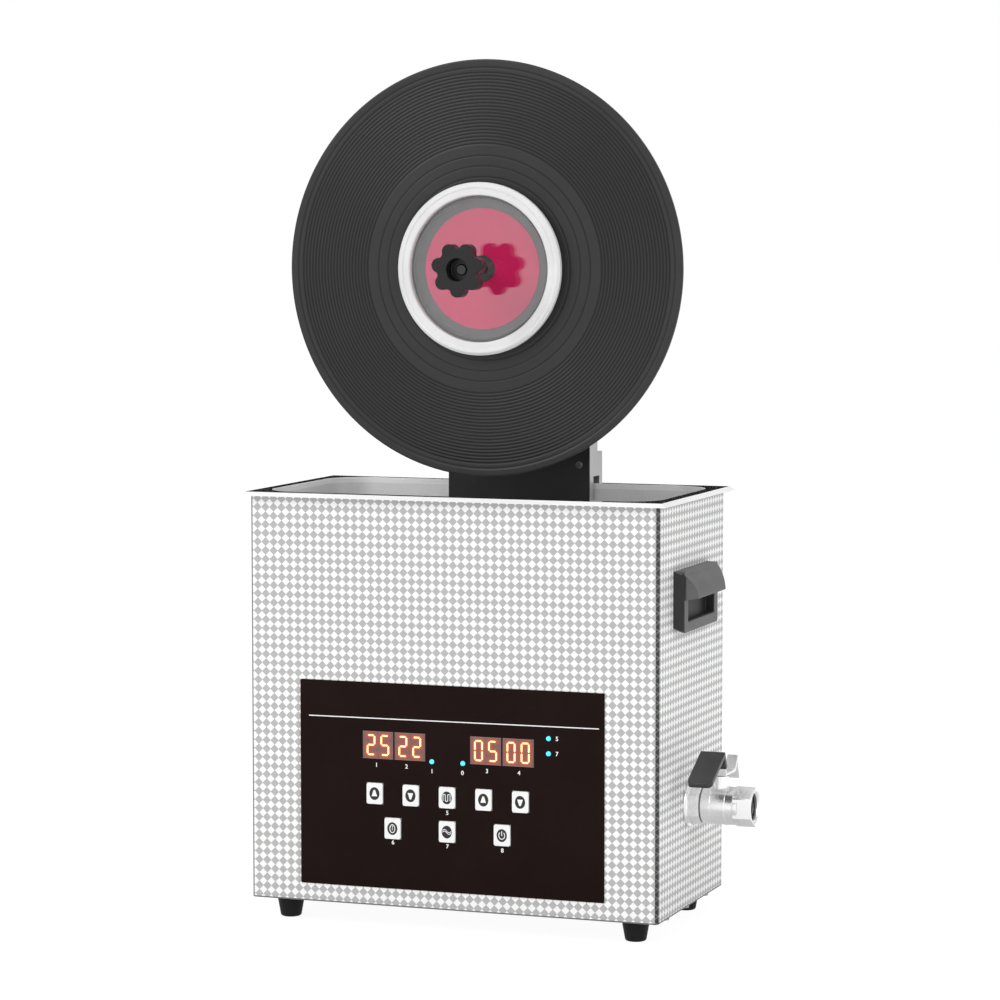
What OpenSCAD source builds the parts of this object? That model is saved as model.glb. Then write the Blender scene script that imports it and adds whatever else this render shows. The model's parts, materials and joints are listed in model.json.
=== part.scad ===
// Bench-top ultrasonic record cleaner: a steel tank in a steel cabinet, with a motor rack
// hooked over the rear rim that holds and turns one 12-inch record above the tank.
// X runs to the right, -Y faces the user, Z is up and the feet stand on Z = 0.

/* [Cabinet] */
// Width of the cabinet over its side walls
cab_w = 308; // [300:1:330]
// Depth of the cabinet from front wall to rear wall
cab_d = 160; // [158:1:180]
// Thickness of the cabinet sheet
cab_t = 1; // [0.8:0.1:1.5]
// Outside radius of the cabinet's upright corners
cab_r = 3; // [2:0.5:6]
// Height of the rim's top face above the feet
rim_z = 311; // [300:1:325]
// Width of the lip turned in along the bottom of the walls
base_lip = 8; // [7:0.5:10]
// Thickness of the base plate
base_t = 1.2; // [1:0.1:2]

/* [Tank] */
// Clear space between the tank and a side wall of the cabinet
tank_side_gap = 4; // [3.5:0.5:12]
// Clear space between the tank and the front and rear walls
tank_face_gap = 3; // [3:0.5:8]
// Depth of water the tank can hold, rim to floor
tank_h = 150; // [130:1:155]
// Radius of the tank's upright corners
tank_r = 28; // [12:1:32]
// Thickness of the tank sheet
tank_t = 1; // [0.8:0.1:1.2]
// How far the rim's flat top overhangs the cabinet wall
rim_over = 3; // [2:0.5:5]
// How much further out the sloping lip reaches
lip_out = 4; // [3:0.5:9]
// How far the sloping lip drops
lip_drop = 2.8; // [2:0.2:5]

/* [Feet] */
// Height of a foot below the cabinet
foot_h = 16; // [12:1:25]
// Diameter of a foot at its top
foot_top_d = 20.5; // [16:0.5:24]
// Diameter of a foot where it stands
foot_bottom_d = 15.5; // [12:0.5:20]
// Distance of a foot's centre in from the side wall
foot_side_in = 22.2; // [20:0.2:44]
// Distance of a foot's centre in from the front or rear wall
foot_face_in = 20; // [20:1:35]

/* [Control panel] */
// Width of the printed panel
panel_w = 230; // [200:1:280]
// Height of the printed panel
panel_h = 148; // [146:1:170]
// Height of the panel's lower edge above the cabinet's bottom
panel_up = 13; // [8:1:20]
// Thickness of the printed panel
panel_t = 0.6; // [0.4:0.1:1.2]
// Width of a key
key_w = 12.3; // [10:0.1:14]
// Height of a key
key_h = 15.2; // [12:0.1:17]
// How far a key stands out of the panel
key_proud = 1.2; // [0.9:0.1:2]
// Travel of a key
key_travel = 0.6; // [0.3:0.1:0.8]
// Spacing of the upper row of keys
key_pitch = 27.6; // [24:0.1:30]
// Height of the upper row of keys above the floor
key_row1_z = 97.1; // [94:0.1:102]
// Height of the lower row of keys above the floor
key_row2_z = 72.6; // [68:0.1:74]
// Width of one display window
disp_w = 23.2; // [20:0.1:24]
// Height of one display window
disp_h = 19.6; // [16:0.1:22]
// Height of the display windows above the floor
disp_z = 132; // [130:0.5:136]
// Distance between the two windows of a pair
disp_pitch = 24.4; // [24.2:0.1:28]
// Diameter of an indicator light
led_d = 3.4; // [2.5:0.1:5]

/* [Handles] */
// Length of a handle from front to rear
grip_l = 82; // [70:1:100]
// Height of a handle
grip_h = 43.5; // [36:0.5:50]
// Height of a handle's lower edge above the floor
grip_z = 217; // [205:1:240]
// Thickness of a handle's frame
grip_t = 8.4; // [7:0.2:12]
// How far a handle's hood reaches out from the cabinet
hood_out = 16.6; // [13:0.2:20]
// Length of the finger pocket
pocket_l = 64; // [55:1:66]

/* [Drain] */
// Height of the drain's centre line above the floor
drain_z = 90; // [84:1:96]
// Place of the drain and handles, front to rear
side_y = -4.7; // [-10:0.1:5]
// Distance of the tank's drain hole in from the tank's side
drain_in = 26; // [22:1:33]
// Outside diameter of the drain pipe
pipe_d = 16; // [14:0.5:18]
// Wall of the drain pipe
pipe_t = 2; // [1.5:0.1:2.5]
// Diameter of the valve's round body
valve_d = 28; // [26:0.5:32]
// Distance of the ball's centre from the cabinet wall
ball_x = 23.4; // [23:0.1:27]
// Diameter of the ball
ball_d = 17.4; // [16:0.2:19]
// Distance of the valve's outlet face from the cabinet wall
outlet_x = 49; // [44:0.5:60]
// Diameter of the pipe thread in the outlet
outlet_d = 18.6; // [17:0.1:21]
// Width of the lever's blade
lever_w = 18.2; // [14:0.2:22]

/* [Rack] */
// Width of the rack
rack_w = 111; // [100:1:130]
// Place of the rack's front face, front to rear
rack_y = 63.5; // [60:0.5:64]
// Thickness of the front plate
plate_t = 1; // [0.8:0.1:2]
// Thickness of the board behind the plate
board_t = 8.5; // [7:0.1:9]
// Thickness of the column
column_t = 9.5; // [8:0.1:12]
// Height of the rack's top above the floor
rack_top = 515; // [511:1:540]
// Height of the board's lower end above the floor
board_low = 215; // [190:1:260]
// Height of the hook block above the rim pads
hook_h = 18; // [14:0.5:20]
// Thickness of the rubber pads on the rim
pad_t = 5; // [3:0.5:7]
// Thickness of the hook's outer leg
leg_t = 6.2; // [5:0.2:9]
// Travel of the clamp screw
clamp_travel = 3; // [2:0.5:3]
// Travel of the lock screw
lock_travel = 1.5; // [1:0.1:2]

/* [Carriage] */
// Height of the spindle above the floor, raised
spin_z = 470.5; // [468:0.5:475]
// How far the carriage comes down
lift = 85; // [60:1:85]
// Width of the motor box
box_w = 90; // [80:1:100]
// Depth of the motor box behind its base
box_d = 37; // [30:1:50]
// Wall of the motor box
box_t = 2; // [1.5:0.1:3]
// Diameter of the gear motor
motor_d = 50; // [40:1:54]
// Length of the gear motor
motor_l = 23; // [18:1:28]

/* [Record and clamp] */
// Diameter of the record
rec_d = 300; // [250:1:301]
// Thickness of the record's playing area
rec_t = 2; // [1.6:0.1:2.4]
// Place of the record's middle plane, front to rear
rec_y = -11; // [-13:0.5:6]
// Thickness of the record under its label
rec_label_t = 3.2; // [2.6:0.1:3.6]
// Outside diameter of a seal ring
ring_d = 124; // [112:1:130]
// Inside diameter of a seal ring
ring_bore = 105; // [104:0.5:108]
// Depth of a seal ring from the record's face
ring_l = 12; // [10:0.5:17]
// Thickness of the clear cover
cover_t = 2.7; // [2:0.1:3.5]
// How far the clear cover sits behind the ring's front
cover_in = 2; // [1:0.1:3]
// Diameter of the coloured label disc
label_d = 87; // [70:1:98]
// Diameter of the spindle through the record
nose_d = 7.2; // [6:0.1:7.2]
// Diameter of the spindle in its bearing
shaft_d = 10; // [8:0.2:12]
// Place of the knob's front face
knob_y = -67; // [-75:0.5:-64]
// Diameter of the knob over its lobes
knob_d = 39; // [34:0.5:46]
// Thickness of the knob's head
knob_t = 11; // [9:0.5:14]
// Diameter of the hole in the knob's front
knob_bore = 16; // [12:0.5:17]
// How far the knob backs off
knob_travel = 6; // [3:0.5:6]

/* [Fits] */
// Gap between pieces that move past each other
gap = 0.3; // [0.2:0.05:0.4]
// Gap round a shaft that turns in its hole, on the radius
run = 0.06; // [0.03:0.01:0.09]
// Gap round a screw or a fixed piece in its hole, on the radius
slack = 0.15; // [0.05:0.05:0.2]

/* [Hidden] */
$fn = 64;

// Cabinet levels and faces
cab_z = foot_h;
wall_top = rim_z - tank_t;
cab_front = -cab_d / 2;
cab_back = cab_d / 2;
cab_side = cab_w / 2;
plate_z = cab_z + cab_t;
plate_top = plate_z + base_t;
tank_w = cab_w - 2 * (cab_t + tank_side_gap + tank_t);
tank_d = cab_d - 2 * (cab_t + tank_face_gap + tank_t);
tank_floor = rim_z - tank_h;
drain_x = tank_w / 2 - drain_in;
foot_x = cab_side - foot_side_in;
foot_y = cab_back - foot_face_in;
tank_under = tank_floor - tank_t;

// Screw sizes
m4_r = 2;
m4_head_r = 3.9;
m4_head_t = 2.4;
m3_r = 1.5;
m3_head_r = 2.75;

// Control panel layout
panel_front = cab_front - panel_t;
key_mid_x = -2.2;
key_row2_pitch = 41.5;
key_front = panel_front - key_proud;
key_flange = 1.4;
key_flange_t = 1.2;
key_back = cab_front + cab_t + gap + key_flange_t;
disp_pair_x = [-42.9, 38.9];
led_places = [[-14, 122.2], [9.5, 122.2], [73.7, 143.2], [73.7, 132.5]];
board_y = cab_front + cab_t + 6;
board_w = 168;
board_t2 = 1.6;
board_z = [60, 150];
switch_w = 8;
switch_front = key_back + key_travel + gap;
stem_r = 1.8;
stem_in = 1.9;
KEYS = [
    [key_mid_x - 2 * key_pitch, key_row1_z],
    [key_mid_x - key_pitch, key_row1_z],
    [key_mid_x, key_row1_z],
    [key_mid_x + key_pitch, key_row1_z],
    [key_mid_x + 2 * key_pitch, key_row1_z],
    [key_mid_x - key_row2_pitch, key_row2_z],
    [key_mid_x, key_row2_z],
    [key_mid_x + key_row2_pitch, key_row2_z]
];

// Drain and valve layout
pipe_r = pipe_d / 2;
bend_r = 18;
valve_r = valve_d / 2;
ball_r = ball_d / 2;
ball_at = cab_side + ball_x;
outlet_at = cab_side + outlet_x;
nut_t = 10.5;
hex_af = valve_d - 2.8;
body_from = cab_side + nut_t;
body_to = ball_at + ball_r + 3;
bonnet_r = 5.6;
bonnet_top = drain_z + valve_r + 7.4;
stem_d = 5;
seat_in = ball_r * 0.72;
seat_out = ball_r + 1.4;
packing_t = 1.6;
lever_z = bonnet_top + packing_t + gap;
lever_t = 2;
lever_nut_h = 5;
ridge = [-21, 15.9];
blade_end = [-54.5, -1];

// Handle layout
hood_low = 7.5;
screw_side = grip_l / 2 - (grip_l - pocket_l) / 4;

// Rack layout
board_front = rack_y + plate_t;
column_y = board_front + board_t;
column_back = column_y + column_t;
rim_back = cab_back + rim_over + lip_out;
hook_z = rim_z + pad_t;
hook_top = hook_z + hook_h;
leg_y = rim_back + 0.5;
leg_back = leg_y + leg_t;
leg_low = hook_z - 48;
slot_w = 20 + 2 * gap;
tongue_h = 60;
slot_top = spin_z + tongue_h / 2 + gap;
slot_low = spin_z - lift - tongue_h / 2 - gap;
clamp_z = leg_low + 15;
pad_r = 8;
screw_r = 3;

// Carriage layout
base_y = column_back + gap;
base_plate_t = 4;
box_front = base_y + base_plate_t;
box_z = [spin_z - 45.5, spin_z + 29.5];
lock_x = 30;
lock_z = spin_z - 33.5;
shoe_r = 6;
shoe_t = 4.4;
keeper_t = 3;
keeper_y = rack_y - gap;

// Spindle stack, front to rear
spin_r = shaft_d / 2;
nose_r = nose_d / 2;
rec_front = rec_y - rec_t / 2;
rec_back = rec_y + rec_t / 2;
ring_r = ring_d / 2;
ring_in = ring_bore / 2;
ring_front = rec_front - ring_l;
cover_front = ring_front + cover_in;
cover_back = cover_front + cover_t;
disc_r = ring_in - gap;
disc_floor_t = 1.1;
cup_floor = ring_l + (rec_t - rec_label_t) / 2 - cover_in - cover_t - disc_floor_t;
label_t = 1;
boss_r = 9.75;
boss_deep = cup_floor + 0.4;
collar_y = 2 * rec_y - cover_back - boss_deep;
knob_head_back = knob_y + knob_t;
neck_l = 6;
neck_r = 6.3;
knob_back = knob_head_back + neck_l;
sleeve_r = 4.4;
nose_end = knob_head_back - 1.5;
shaft_back = box_front + 11;

// Shapes used more than once

module rounded_outline(w, d, r) {
    square([w - 2 * r, d], center = true);
    square([w, d - 2 * r], center = true);
    for (sx = [-1, 1], sy = [-1, 1])
        translate([sx * (w / 2 - r), sy * (d / 2 - r)])
            circle(r);
}

module rounded_slab(w, d, r, z0, z1) {
    translate([0, 0, z0])
        linear_extrude(z1 - z0)
            rounded_outline(w, d, r);
}

// A flat outline standing up in the XZ plane, from y_front back to y_back
module upright(x, z, y_front, y_back) {
    translate([x, y_back, z])
        rotate([90, 0, 0])
            linear_extrude(y_back - y_front)
                children();
}

// A round bar along Y
module bar_y(x, z, y_front, y_back, r) {
    translate([x, y_back, z])
        rotate([90, 0, 0])
            cylinder(h = y_back - y_front, r = r);
}

// A round bar along X
module bar_x(x0, x1, y, z, r) {
    translate([x0, y, z])
        rotate([0, 90, 0])
            cylinder(h = x1 - x0, r = r);
}

// A flat outline in the YZ plane, from x0 to x1
module sideways(x0, x1, y, z) {
    translate([x0, y, z])
        rotate([90, 0, 90])
            linear_extrude(x1 - x0)
                children();
}

// A hexagon by its width across flats
module hexagon(across) {
    circle(r = across / 2 / cos(30), $fn = 6);
}

// Cabinet

module key_places() {
    for (k = KEYS)
        translate([k[0], 0, k[1]])
            children();
}

module display_places() {
    for (px = disp_pair_x, side = [-1, 1])
        translate([px + side * disp_pitch / 2, 0, disp_z])
            children();
}

// Openings for the keys, windows and lights, cut through the wall and the panel alike
module panel_openings(y_front, y_back) {
    key_places()
        upright(0, 0, y_front, y_back)
            square([key_w + 2 * gap, key_h + 2 * gap], center = true);
    display_places()
        upright(0, 0, y_front, y_back)
            square([disp_w + 2 * slack, disp_h + 2 * slack], center = true);
    for (p = led_places)
        bar_y(p[0], p[1], y_front, y_back, led_d / 2 + slack);
}

inlet_in = 59;
inlet_x = inlet_in - cab_side;
inlet_z = 74;
inlet_body = 47.4;

module vent_slots() {
    for (i = [0 : 9], side = [-1, 1])
        translate([20 + 11 * i, side * 28, plate_z - 1])
            linear_extrude(base_t + 2)
                rounded_outline(4, 34, 1.9);
}

module housing() {
    color([0.87, 0.87, 0.88])
    difference() {
        rounded_slab(cab_w, cab_d, cab_r, cab_z, wall_top);
        rounded_slab(cab_w - 2 * cab_t, cab_d - 2 * cab_t, cab_r - cab_t / 2,
            plate_z, wall_top + 1);
        rounded_slab(cab_w - 2 * (cab_t + base_lip), cab_d - 2 * (cab_t + base_lip), cab_r,
            cab_z - 1, plate_z + 1);
        panel_openings(cab_front - 1, cab_front + cab_t + 1);
        bar_x(cab_side - 5, cab_side + 5, side_y, drain_z, pipe_r + 3);
        upright(inlet_x, inlet_z, cab_back - 3, cab_back + 1)
            square([inlet_body + 2 * slack, inlet_body + 2 * slack], center = true);
        grip_screw_places()
            bar_x(-8, 8, 0, 0, m3_r + slack);
        base_screw_places()
            cylinder(h = 4 * cab_t, r = m4_r + slack, center = true);
    }
}

module base_screw_places() {
    for (sx = [-1, 1], i = [-1 : 1])
        translate([sx * (cab_side - cab_t - base_lip / 2), i * cab_d * 0.3, cab_z + cab_t / 2])
            children();
}

module foot_places() {
    for (sx = [-1, 1], sy = [-1, 1])
        translate([sx * foot_x, sy * foot_y, 0])
            children();
}

module base_plate() {
    color([0.62, 0.62, 0.64])
    difference() {
        rounded_slab(cab_w - 2 * (cab_t + gap), cab_d - 2 * (cab_t + gap), cab_r - cab_t,
            plate_z, plate_top);
        base_screw_places()
            cylinder(h = 20, r = m4_r + slack, center = true);
        foot_places()
            cylinder(h = 60, r = m4_r + slack);
        vent_slots();
    }
}

module feet() {
    round_r = 2;
    color([0.05, 0.05, 0.05])
    foot_places()
        rotate_extrude()
            difference() {
                union() {
                    polygon([[0, 0], [foot_bottom_d / 2 - round_r, 0],
                        [foot_bottom_d / 2, round_r], [foot_top_d / 2, foot_h],
                        [foot_top_d / 2, plate_z], [0, plate_z]]);
                    translate([foot_bottom_d / 2 - round_r, round_r])
                        circle(round_r);
                }
                translate([0, -1])
                    square([m4_r + slack, plate_z + 2]);
                translate([0, -1])
                    square([m4_head_r + slack, 9]);
            }
}

// M4 pan-head screws for the base plate and feet, M3 ones for the handles
module cabinet_screws() {
    color([0.7, 0.7, 0.72]) {
        base_screw_places() {
            translate([0, 0, -cab_t / 2])
                cylinder(h = 6, r = m4_r);
            translate([0, 0, -cab_t / 2 - m4_head_t])
                cylinder(h = m4_head_t, r = m4_head_r - 0.4);
        }
        foot_places() {
            translate([0, 0, 8])
                cylinder(h = plate_top + 3 - 8, r = m4_r);
            translate([0, 0, 8 - m4_head_t])
                cylinder(h = m4_head_t, r = m4_head_r);
        }
        grip_screw_places() {
            bar_x(-cab_t, 4.4, 0, 0, m3_r);
            bar_x(-cab_t - 1.4, -cab_t, 0, 0, m3_head_r);
        }
    }
}

// Handles

// Screw centres on both side walls, with +X pointing out of the wall
module grip_screw_places() {
    for (m = [0, 1], s = [-1, 1])
        mirror([m, 0, 0])
            translate([cab_side, side_y + s * screw_side, grip_z + grip_h * 0.45])
                children();
}

// Hood seen from the front: a sloping top, a knee and a rounded front down to its lower edge
module hood_profile() {
    top = grip_h;
    low = grip_h - 19.5;
    knee = [grip_t + 1.2, top - 3.6];
    toe = [hood_out, low];
    bulge = 1.3;
    polygon(concat(
        [[0, top], knee],
        [for (i = [1 : 7])
            let (s = i / 8,
                p = knee + s * (toe - knee),
                lift_out = bulge * sin(180 * s))
            [p[0] + lift_out, p[1] + lift_out * 0.5]],
        [toe, [toe[0] - 2, low], [grip_t, low - 1], [0, low - 1]]));
}

module hood_cavity_profile() {
    top = grip_h;
    low = grip_h - 19.5;
    polygon([[1.6, low - 20], [1.6, top - 3.4], [grip_t, top - 6.2],
        [hood_out - 4.4, low + 6], [hood_out - 2.2, low - 0.5], [hood_out, low - 0.5],
        [hood_out, low - 20]]);
}

module handle_frame() {
    difference() {
        sideways(0, grip_t, 0, grip_h / 2)
            rounded_outline(grip_l, grip_h, 3);
        // lower edge eased towards the wall
        upright(0, 0, -grip_l, grip_l)
            polygon([[-1, -1], [-1, 3.4], [0, 3.4], [grip_t * 0.75, 0], [grip_t * 0.75, -1]]);
    }
}

module handle() {
    difference() {
        union() {
            handle_frame();
            intersection() {
                upright(0, 0, -grip_l / 2, grip_l / 2)
                    hood_profile();
                linear_extrude(grip_h + 1)
                    polygon([[-1, -grip_l / 2], [grip_t + 0.8, -grip_l / 2],
                        [hood_out + 1.4, -pocket_l / 2 - 0.4],
                        [hood_out + 1.4, pocket_l / 2 + 0.4],
                        [grip_t + 0.8, grip_l / 2], [-1, grip_l / 2]]);
            }
        }
        upright(0, 0, -pocket_l / 2, pocket_l / 2)
            intersection() {
                hood_cavity_profile();
                translate([0, hood_low])
                    square([hood_out + 5, grip_h]);
            }
        for (s = [-1, 1])
            bar_x(-1, 4.7, s * screw_side, grip_h * 0.45, m3_r + slack / 2);
    }
}

module handles() {
    color([0.26, 0.26, 0.27])
    for (m = [0, 1])
        mirror([m, 0, 0])
            translate([cab_side, side_y, grip_z])
                handle();
}

// Tank

// A hipped block with the rim's sloping lips on all four sides, dropped by t
module rim_block(t) {
    half_x = cab_side + rim_over;
    half_y = cab_back + rim_over;
    z1 = rim_z - t;
    z0 = z1 - lip_drop;
    intersection() {
        upright(0, 0, -half_y - lip_out, half_y + lip_out)
            polygon([[-half_x - lip_out, z0], [-half_x, z1], [half_x, z1],
                [half_x + lip_out, z0]]);
        sideways(-half_x - lip_out, half_x + lip_out, 0, 0)
            polygon([[-half_y - lip_out, z0], [-half_y, z1], [half_y, z1],
                [half_y + lip_out, z0]]);
    }
}

module tank() {
    color([0.78, 0.79, 0.8])
    difference() {
        union() {
            difference() {
                rim_block(0);
                rim_block(tank_t);
            }
            rounded_slab(tank_w + 2 * tank_t, tank_d + 2 * tank_t, tank_r + tank_t,
                tank_under, rim_z - tank_t / 2);
        }
        rounded_slab(tank_w, tank_d, tank_r, tank_floor, rim_z + 1);
        translate([drain_x, side_y, tank_under - 1])
            cylinder(h = 2 * tank_t + 2, r = pipe_r - pipe_t);
    }
}

// Control panel and what sits behind it

module control_panel() {
    color([0.14, 0.1, 0.09])
    difference() {
        upright(0, cab_z + panel_up + panel_h / 2, panel_front, cab_front)
            rounded_outline(panel_w, panel_h, 1);
        panel_openings(panel_front - 1, cab_front + 1);
    }
}

module control_board() {
    mid_z = (board_z[0] + board_z[1]) / 2;
    color([0.1, 0.35, 0.2])
    difference() {
        union() {
            upright(0, mid_z, board_y, board_y + board_t2)
                square([board_w, board_z[1] - board_z[0]], center = true);
            upright(0, mid_z - 8, board_y + board_t2, board_y + board_t2 + 3)
                square([22, 22], center = true);
            upright(-60, mid_z, board_y + board_t2, board_y + board_t2 + 9)
                square([28, 8], center = true);
        }
        standoff_places()
            bar_y(0, 0, board_y - 1, board_y + board_t2 + 1, m3_r + slack);
    }
}

module standoff_places() {
    for (sx = [-1, 1], z = board_z)
        translate([sx * (board_w / 2 - 5), 0, z - 5 * sign(z - (board_z[0] + board_z[1]) / 2)])
            children();
}

module board_standoffs() {
    color([0.75, 0.62, 0.3])
    standoff_places() {
        bar_y(0, 0, cab_front + cab_t, board_y, 3);
        bar_y(0, 0, board_y, board_y + board_t2 + 2, m3_r);
    }
}

// One bar of a seven-bar digit
module digit_bar(l, t) {
    polygon([[-l / 2, 0], [-l / 2 + t / 2, t / 2], [l / 2 - t / 2, t / 2], [l / 2, 0],
        [l / 2 - t / 2, -t / 2], [-l / 2 + t / 2, -t / 2]]);
}

module digit_outline(bars) {
    w = 5.4;
    h = 6.9;
    t = 1.4;
    bar_gap = 0.5;
    places = [[0, h, 0], [w / 2, h / 2, 90], [w / 2, -h / 2, 90], [0, -h, 0],
        [-w / 2, -h / 2, 90], [-w / 2, h / 2, 90], [0, 0, 0]];
    for (i = [0 : 6])
        if (bars[i] == 1)
            translate([places[i][0], places[i][1]])
                rotate(places[i][2])
                    digit_bar((places[i][2] == 0 ? w : h) - bar_gap, t);
}

BARS = [[1, 1, 1, 1, 1, 1, 0], [1, 1, 0, 1, 1, 0, 1], [1, 0, 1, 1, 0, 1, 1]];
SHOWN = [[BARS[1], BARS[2]], [BARS[1], BARS[1]], [BARS[0], BARS[2]], [BARS[0], BARS[0]]];

module displays() {
    face_t = 0.2;
    face = panel_front + face_t + 0.1;
    digit_pitch = 10.6;
    for (pair = [0, 1], side = [0, 1]) {
        x = disp_pair_x[pair] + (side - 0.5) * disp_pitch;
        color([0.3, 0.24, 0.24])
        upright(x, disp_z, face, board_y)
            square([disp_w, disp_h], center = true);
        color([1, 0.6, 0.25])
        for (d = [0, 1])
            upright(x + (d - 0.5) * digit_pitch, disp_z, face - face_t, face)
                digit_outline(SHOWN[2 * pair + side][d]);
    }
}

module indicator_lights() {
    color([0.3, 0.85, 0.95])
    for (p = led_places) {
        bar_y(p[0], p[1], panel_front, board_y, led_d / 2);
        translate([p[0], panel_front, p[1]])
            intersection() {
                sphere(r = led_d / 2);
                translate([-led_d, -led_d, -led_d])
                    cube([2 * led_d, led_d, 2 * led_d]);
            }
    }
}

module key_switches() {
    color([0.1, 0.1, 0.1])
    key_places()
        difference() {
            upright(0, 0, switch_front, board_y)
                square([switch_w, switch_w], center = true);
            bar_y(0, 0, switch_front - 1, switch_front + stem_in + 0.5, stem_r + gap);
        }
}

// One key: its cap in the panel, a flange behind the wall and a stem into its switch
module key(i) {
    color([0.95, 0.95, 0.95])
    translate([KEYS[i][0], 0, KEYS[i][1]]) {
        upright(0, 0, key_front, key_back)
            rounded_outline(key_w, key_h, 1.6);
        upright(0, 0, key_back - key_flange_t, key_back)
            rounded_outline(key_w + 2 * key_flange, key_h + 2 * key_flange, 1);
        bar_y(0, 0, key_back, switch_front + stem_in - key_travel, stem_r);
    }
}

// Drain pipe and valve, on one line along X

module drain_elbow() {
    color([0.75, 0.76, 0.78])
    translate([drain_x, side_y, 0])
        difference() {
            pipe_run(pipe_r, 0);
            pipe_run(pipe_r - pipe_t, 1);
        }
}

// The pipe's path: down from the tank, round the bend and out through the wall
module pipe_run(r, extra) {
    translate([0, 0, drain_z + bend_r])
        cylinder(h = tank_under - drain_z - bend_r + extra, r = r);
    translate([bend_r, 0, drain_z + bend_r])
        rotate([90, 180, 0])
            rotate_extrude(angle = 90)
                translate([bend_r, 0])
                    circle(r);
    translate([bend_r, 0, drain_z])
        rotate([0, 90, 0])
            cylinder(h = body_from - drain_x - bend_r - 0.5 + extra, r = r);
}

module wall_nut() {
    color([0.85, 0.85, 0.86])
    difference() {
        union() {
            bar_x(cab_side, cab_side + 1.5, side_y, drain_z, 16.5);
            sideways(cab_side + 1.5, body_from, side_y, drain_z)
                rotate(30)
                    hexagon(hex_af);
        }
        bar_x(cab_side - 1, body_from + 1, side_y, drain_z, pipe_r + slack);
    }
}

module valve_body() {
    rib = 0.5;
    color([0.82, 0.82, 0.83])
    difference() {
        union() {
            bar_x(body_from, body_from + 2, side_y, drain_z, valve_r - 0.8);
            bar_x(body_from + 2, body_to, side_y, drain_z, valve_r - rib);
            for (s = [-1, 1])
                bar_x(ball_at + s * 5.4 - 0.6, ball_at + s * 5.4 + 0.6, side_y, drain_z, valve_r);
            translate([ball_at, side_y, drain_z])
                cylinder(h = bonnet_top - drain_z, r = bonnet_r);
        }
        bar_x(body_from - 1, ball_at, side_y, drain_z, pipe_r - pipe_t);
        bar_x(ball_at - ball_r - 1.5, body_to + 1, side_y, drain_z, ball_r + 0.9);
        translate([ball_at, side_y, drain_z])
            cylinder(h = bonnet_top, r = stem_d / 2 + run);
        translate([ball_at, side_y, bonnet_top - 3])
            cylinder(h = 4, r = stem_d / 2 + 1.2);
    }
}

module valve_end() {
    seat_r = ball_r + 0.9;
    end_round = 3.4;
    color([0.85, 0.85, 0.86])
    difference() {
        union() {
            bar_x(ball_at + seat_out + gap, body_to + 1, side_y, drain_z, seat_r - slack);
            bar_x(body_to, body_to + end_round, side_y, drain_z, valve_r - 0.5);
            sideways(body_to, outlet_at, side_y, drain_z)
                rotate(30)
                    hexagon(hex_af);
        }
        bar_x(ball_at, outlet_at, side_y, drain_z, pipe_r - pipe_t);
        bar_x(body_to + 2, outlet_at + 1, side_y, drain_z, outlet_d / 2);
        translate([outlet_at - 2, side_y, drain_z])
            rotate([0, 90, 0])
                cylinder(h = 2.2, r1 = outlet_d / 2 - 0.1, r2 = outlet_d / 2 + 2.1);
    }
}

// Two rings that the ball turns between, and the packing round the stem
module valve_seals() {
    color([0.12, 0.12, 0.12]) {
        for (s = [-1, 1])
            difference() {
                bar_x(ball_at + min(s * seat_in, s * seat_out), ball_at + max(s * seat_in, s * seat_out),
                    side_y, drain_z, ball_r + 0.7);
                bar_x(ball_at - valve_d, ball_at + valve_d, side_y, drain_z, pipe_r - pipe_t);
                translate([ball_at, side_y, drain_z])
                    sphere(r = ball_r + run);
            }
        translate([ball_at, side_y, bonnet_top - 3])
            difference() {
                union() {
                    cylinder(h = 3 + packing_t, r = stem_d / 2 + 1.2 - run);
                    translate([0, 0, 3])
                        cylinder(h = packing_t, r = bonnet_r);
                }
                translate([0, 0, -1])
                    cylinder(h = 20, r = stem_d / 2 + run);
            }
    }
}

module at_stem() {
    translate([ball_at, side_y, 0])
        children();
}

tang_w = 2.6;
tang_h = 1.8;

module valve_ball() {
    color([0.9, 0.9, 0.92])
    at_stem()
        difference() {
            translate([0, 0, drain_z])
                sphere(r = ball_r);
            bar_y(0, drain_z, -ball_r - 1, ball_r + 1, pipe_r - pipe_t - 0.6);
            translate([-tang_w / 2 - run, -ball_r, drain_z + ball_r - tang_h])
                cube([tang_w + 2 * run, 2 * ball_r, tang_h + 1]);
        }
}

module valve_stem() {
    top = lever_z + lever_t + lever_nut_h + 5.5;
    low = drain_z + ball_r + 0.2;
    color([0.78, 0.78, 0.8])
    at_stem()
        union() {
            translate([0, 0, low])
                cylinder(h = top - low, r = stem_d / 2);
            translate([-tang_w / 2, -stem_d / 2 + 0.4, drain_z + ball_r - tang_h + 0.1])
                cube([tang_w, stem_d - 0.8, tang_h + 0.4]);
        }
}

// The two long sides of a bent strip that follows the points, with mitred bends
function side_of(p, q) = let (d = (q - p) / norm(q - p)) [-d[1], d[0]];

function strip_side(pts, h) = [
    for (i = [0 : len(pts) - 1])
        let (before = side_of(pts[max(i - 1, 0)], pts[max(i - 1, 0) + 1]),
            after = side_of(pts[min(i, len(pts) - 2)], pts[min(i, len(pts) - 2) + 1]),
            m = before + after)
        pts[i] + m * (2 * h / (m * m))
];

function reversed(v) = [for (i = [len(v) - 1 : -1 : 0]) v[i]];

module strip(pts, t, w) {
    sideways(-w / 2, w / 2, 0, 0)
        polygon(concat(strip_side(pts, t / 2), reversed(strip_side(pts, -t / 2))));
}

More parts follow.
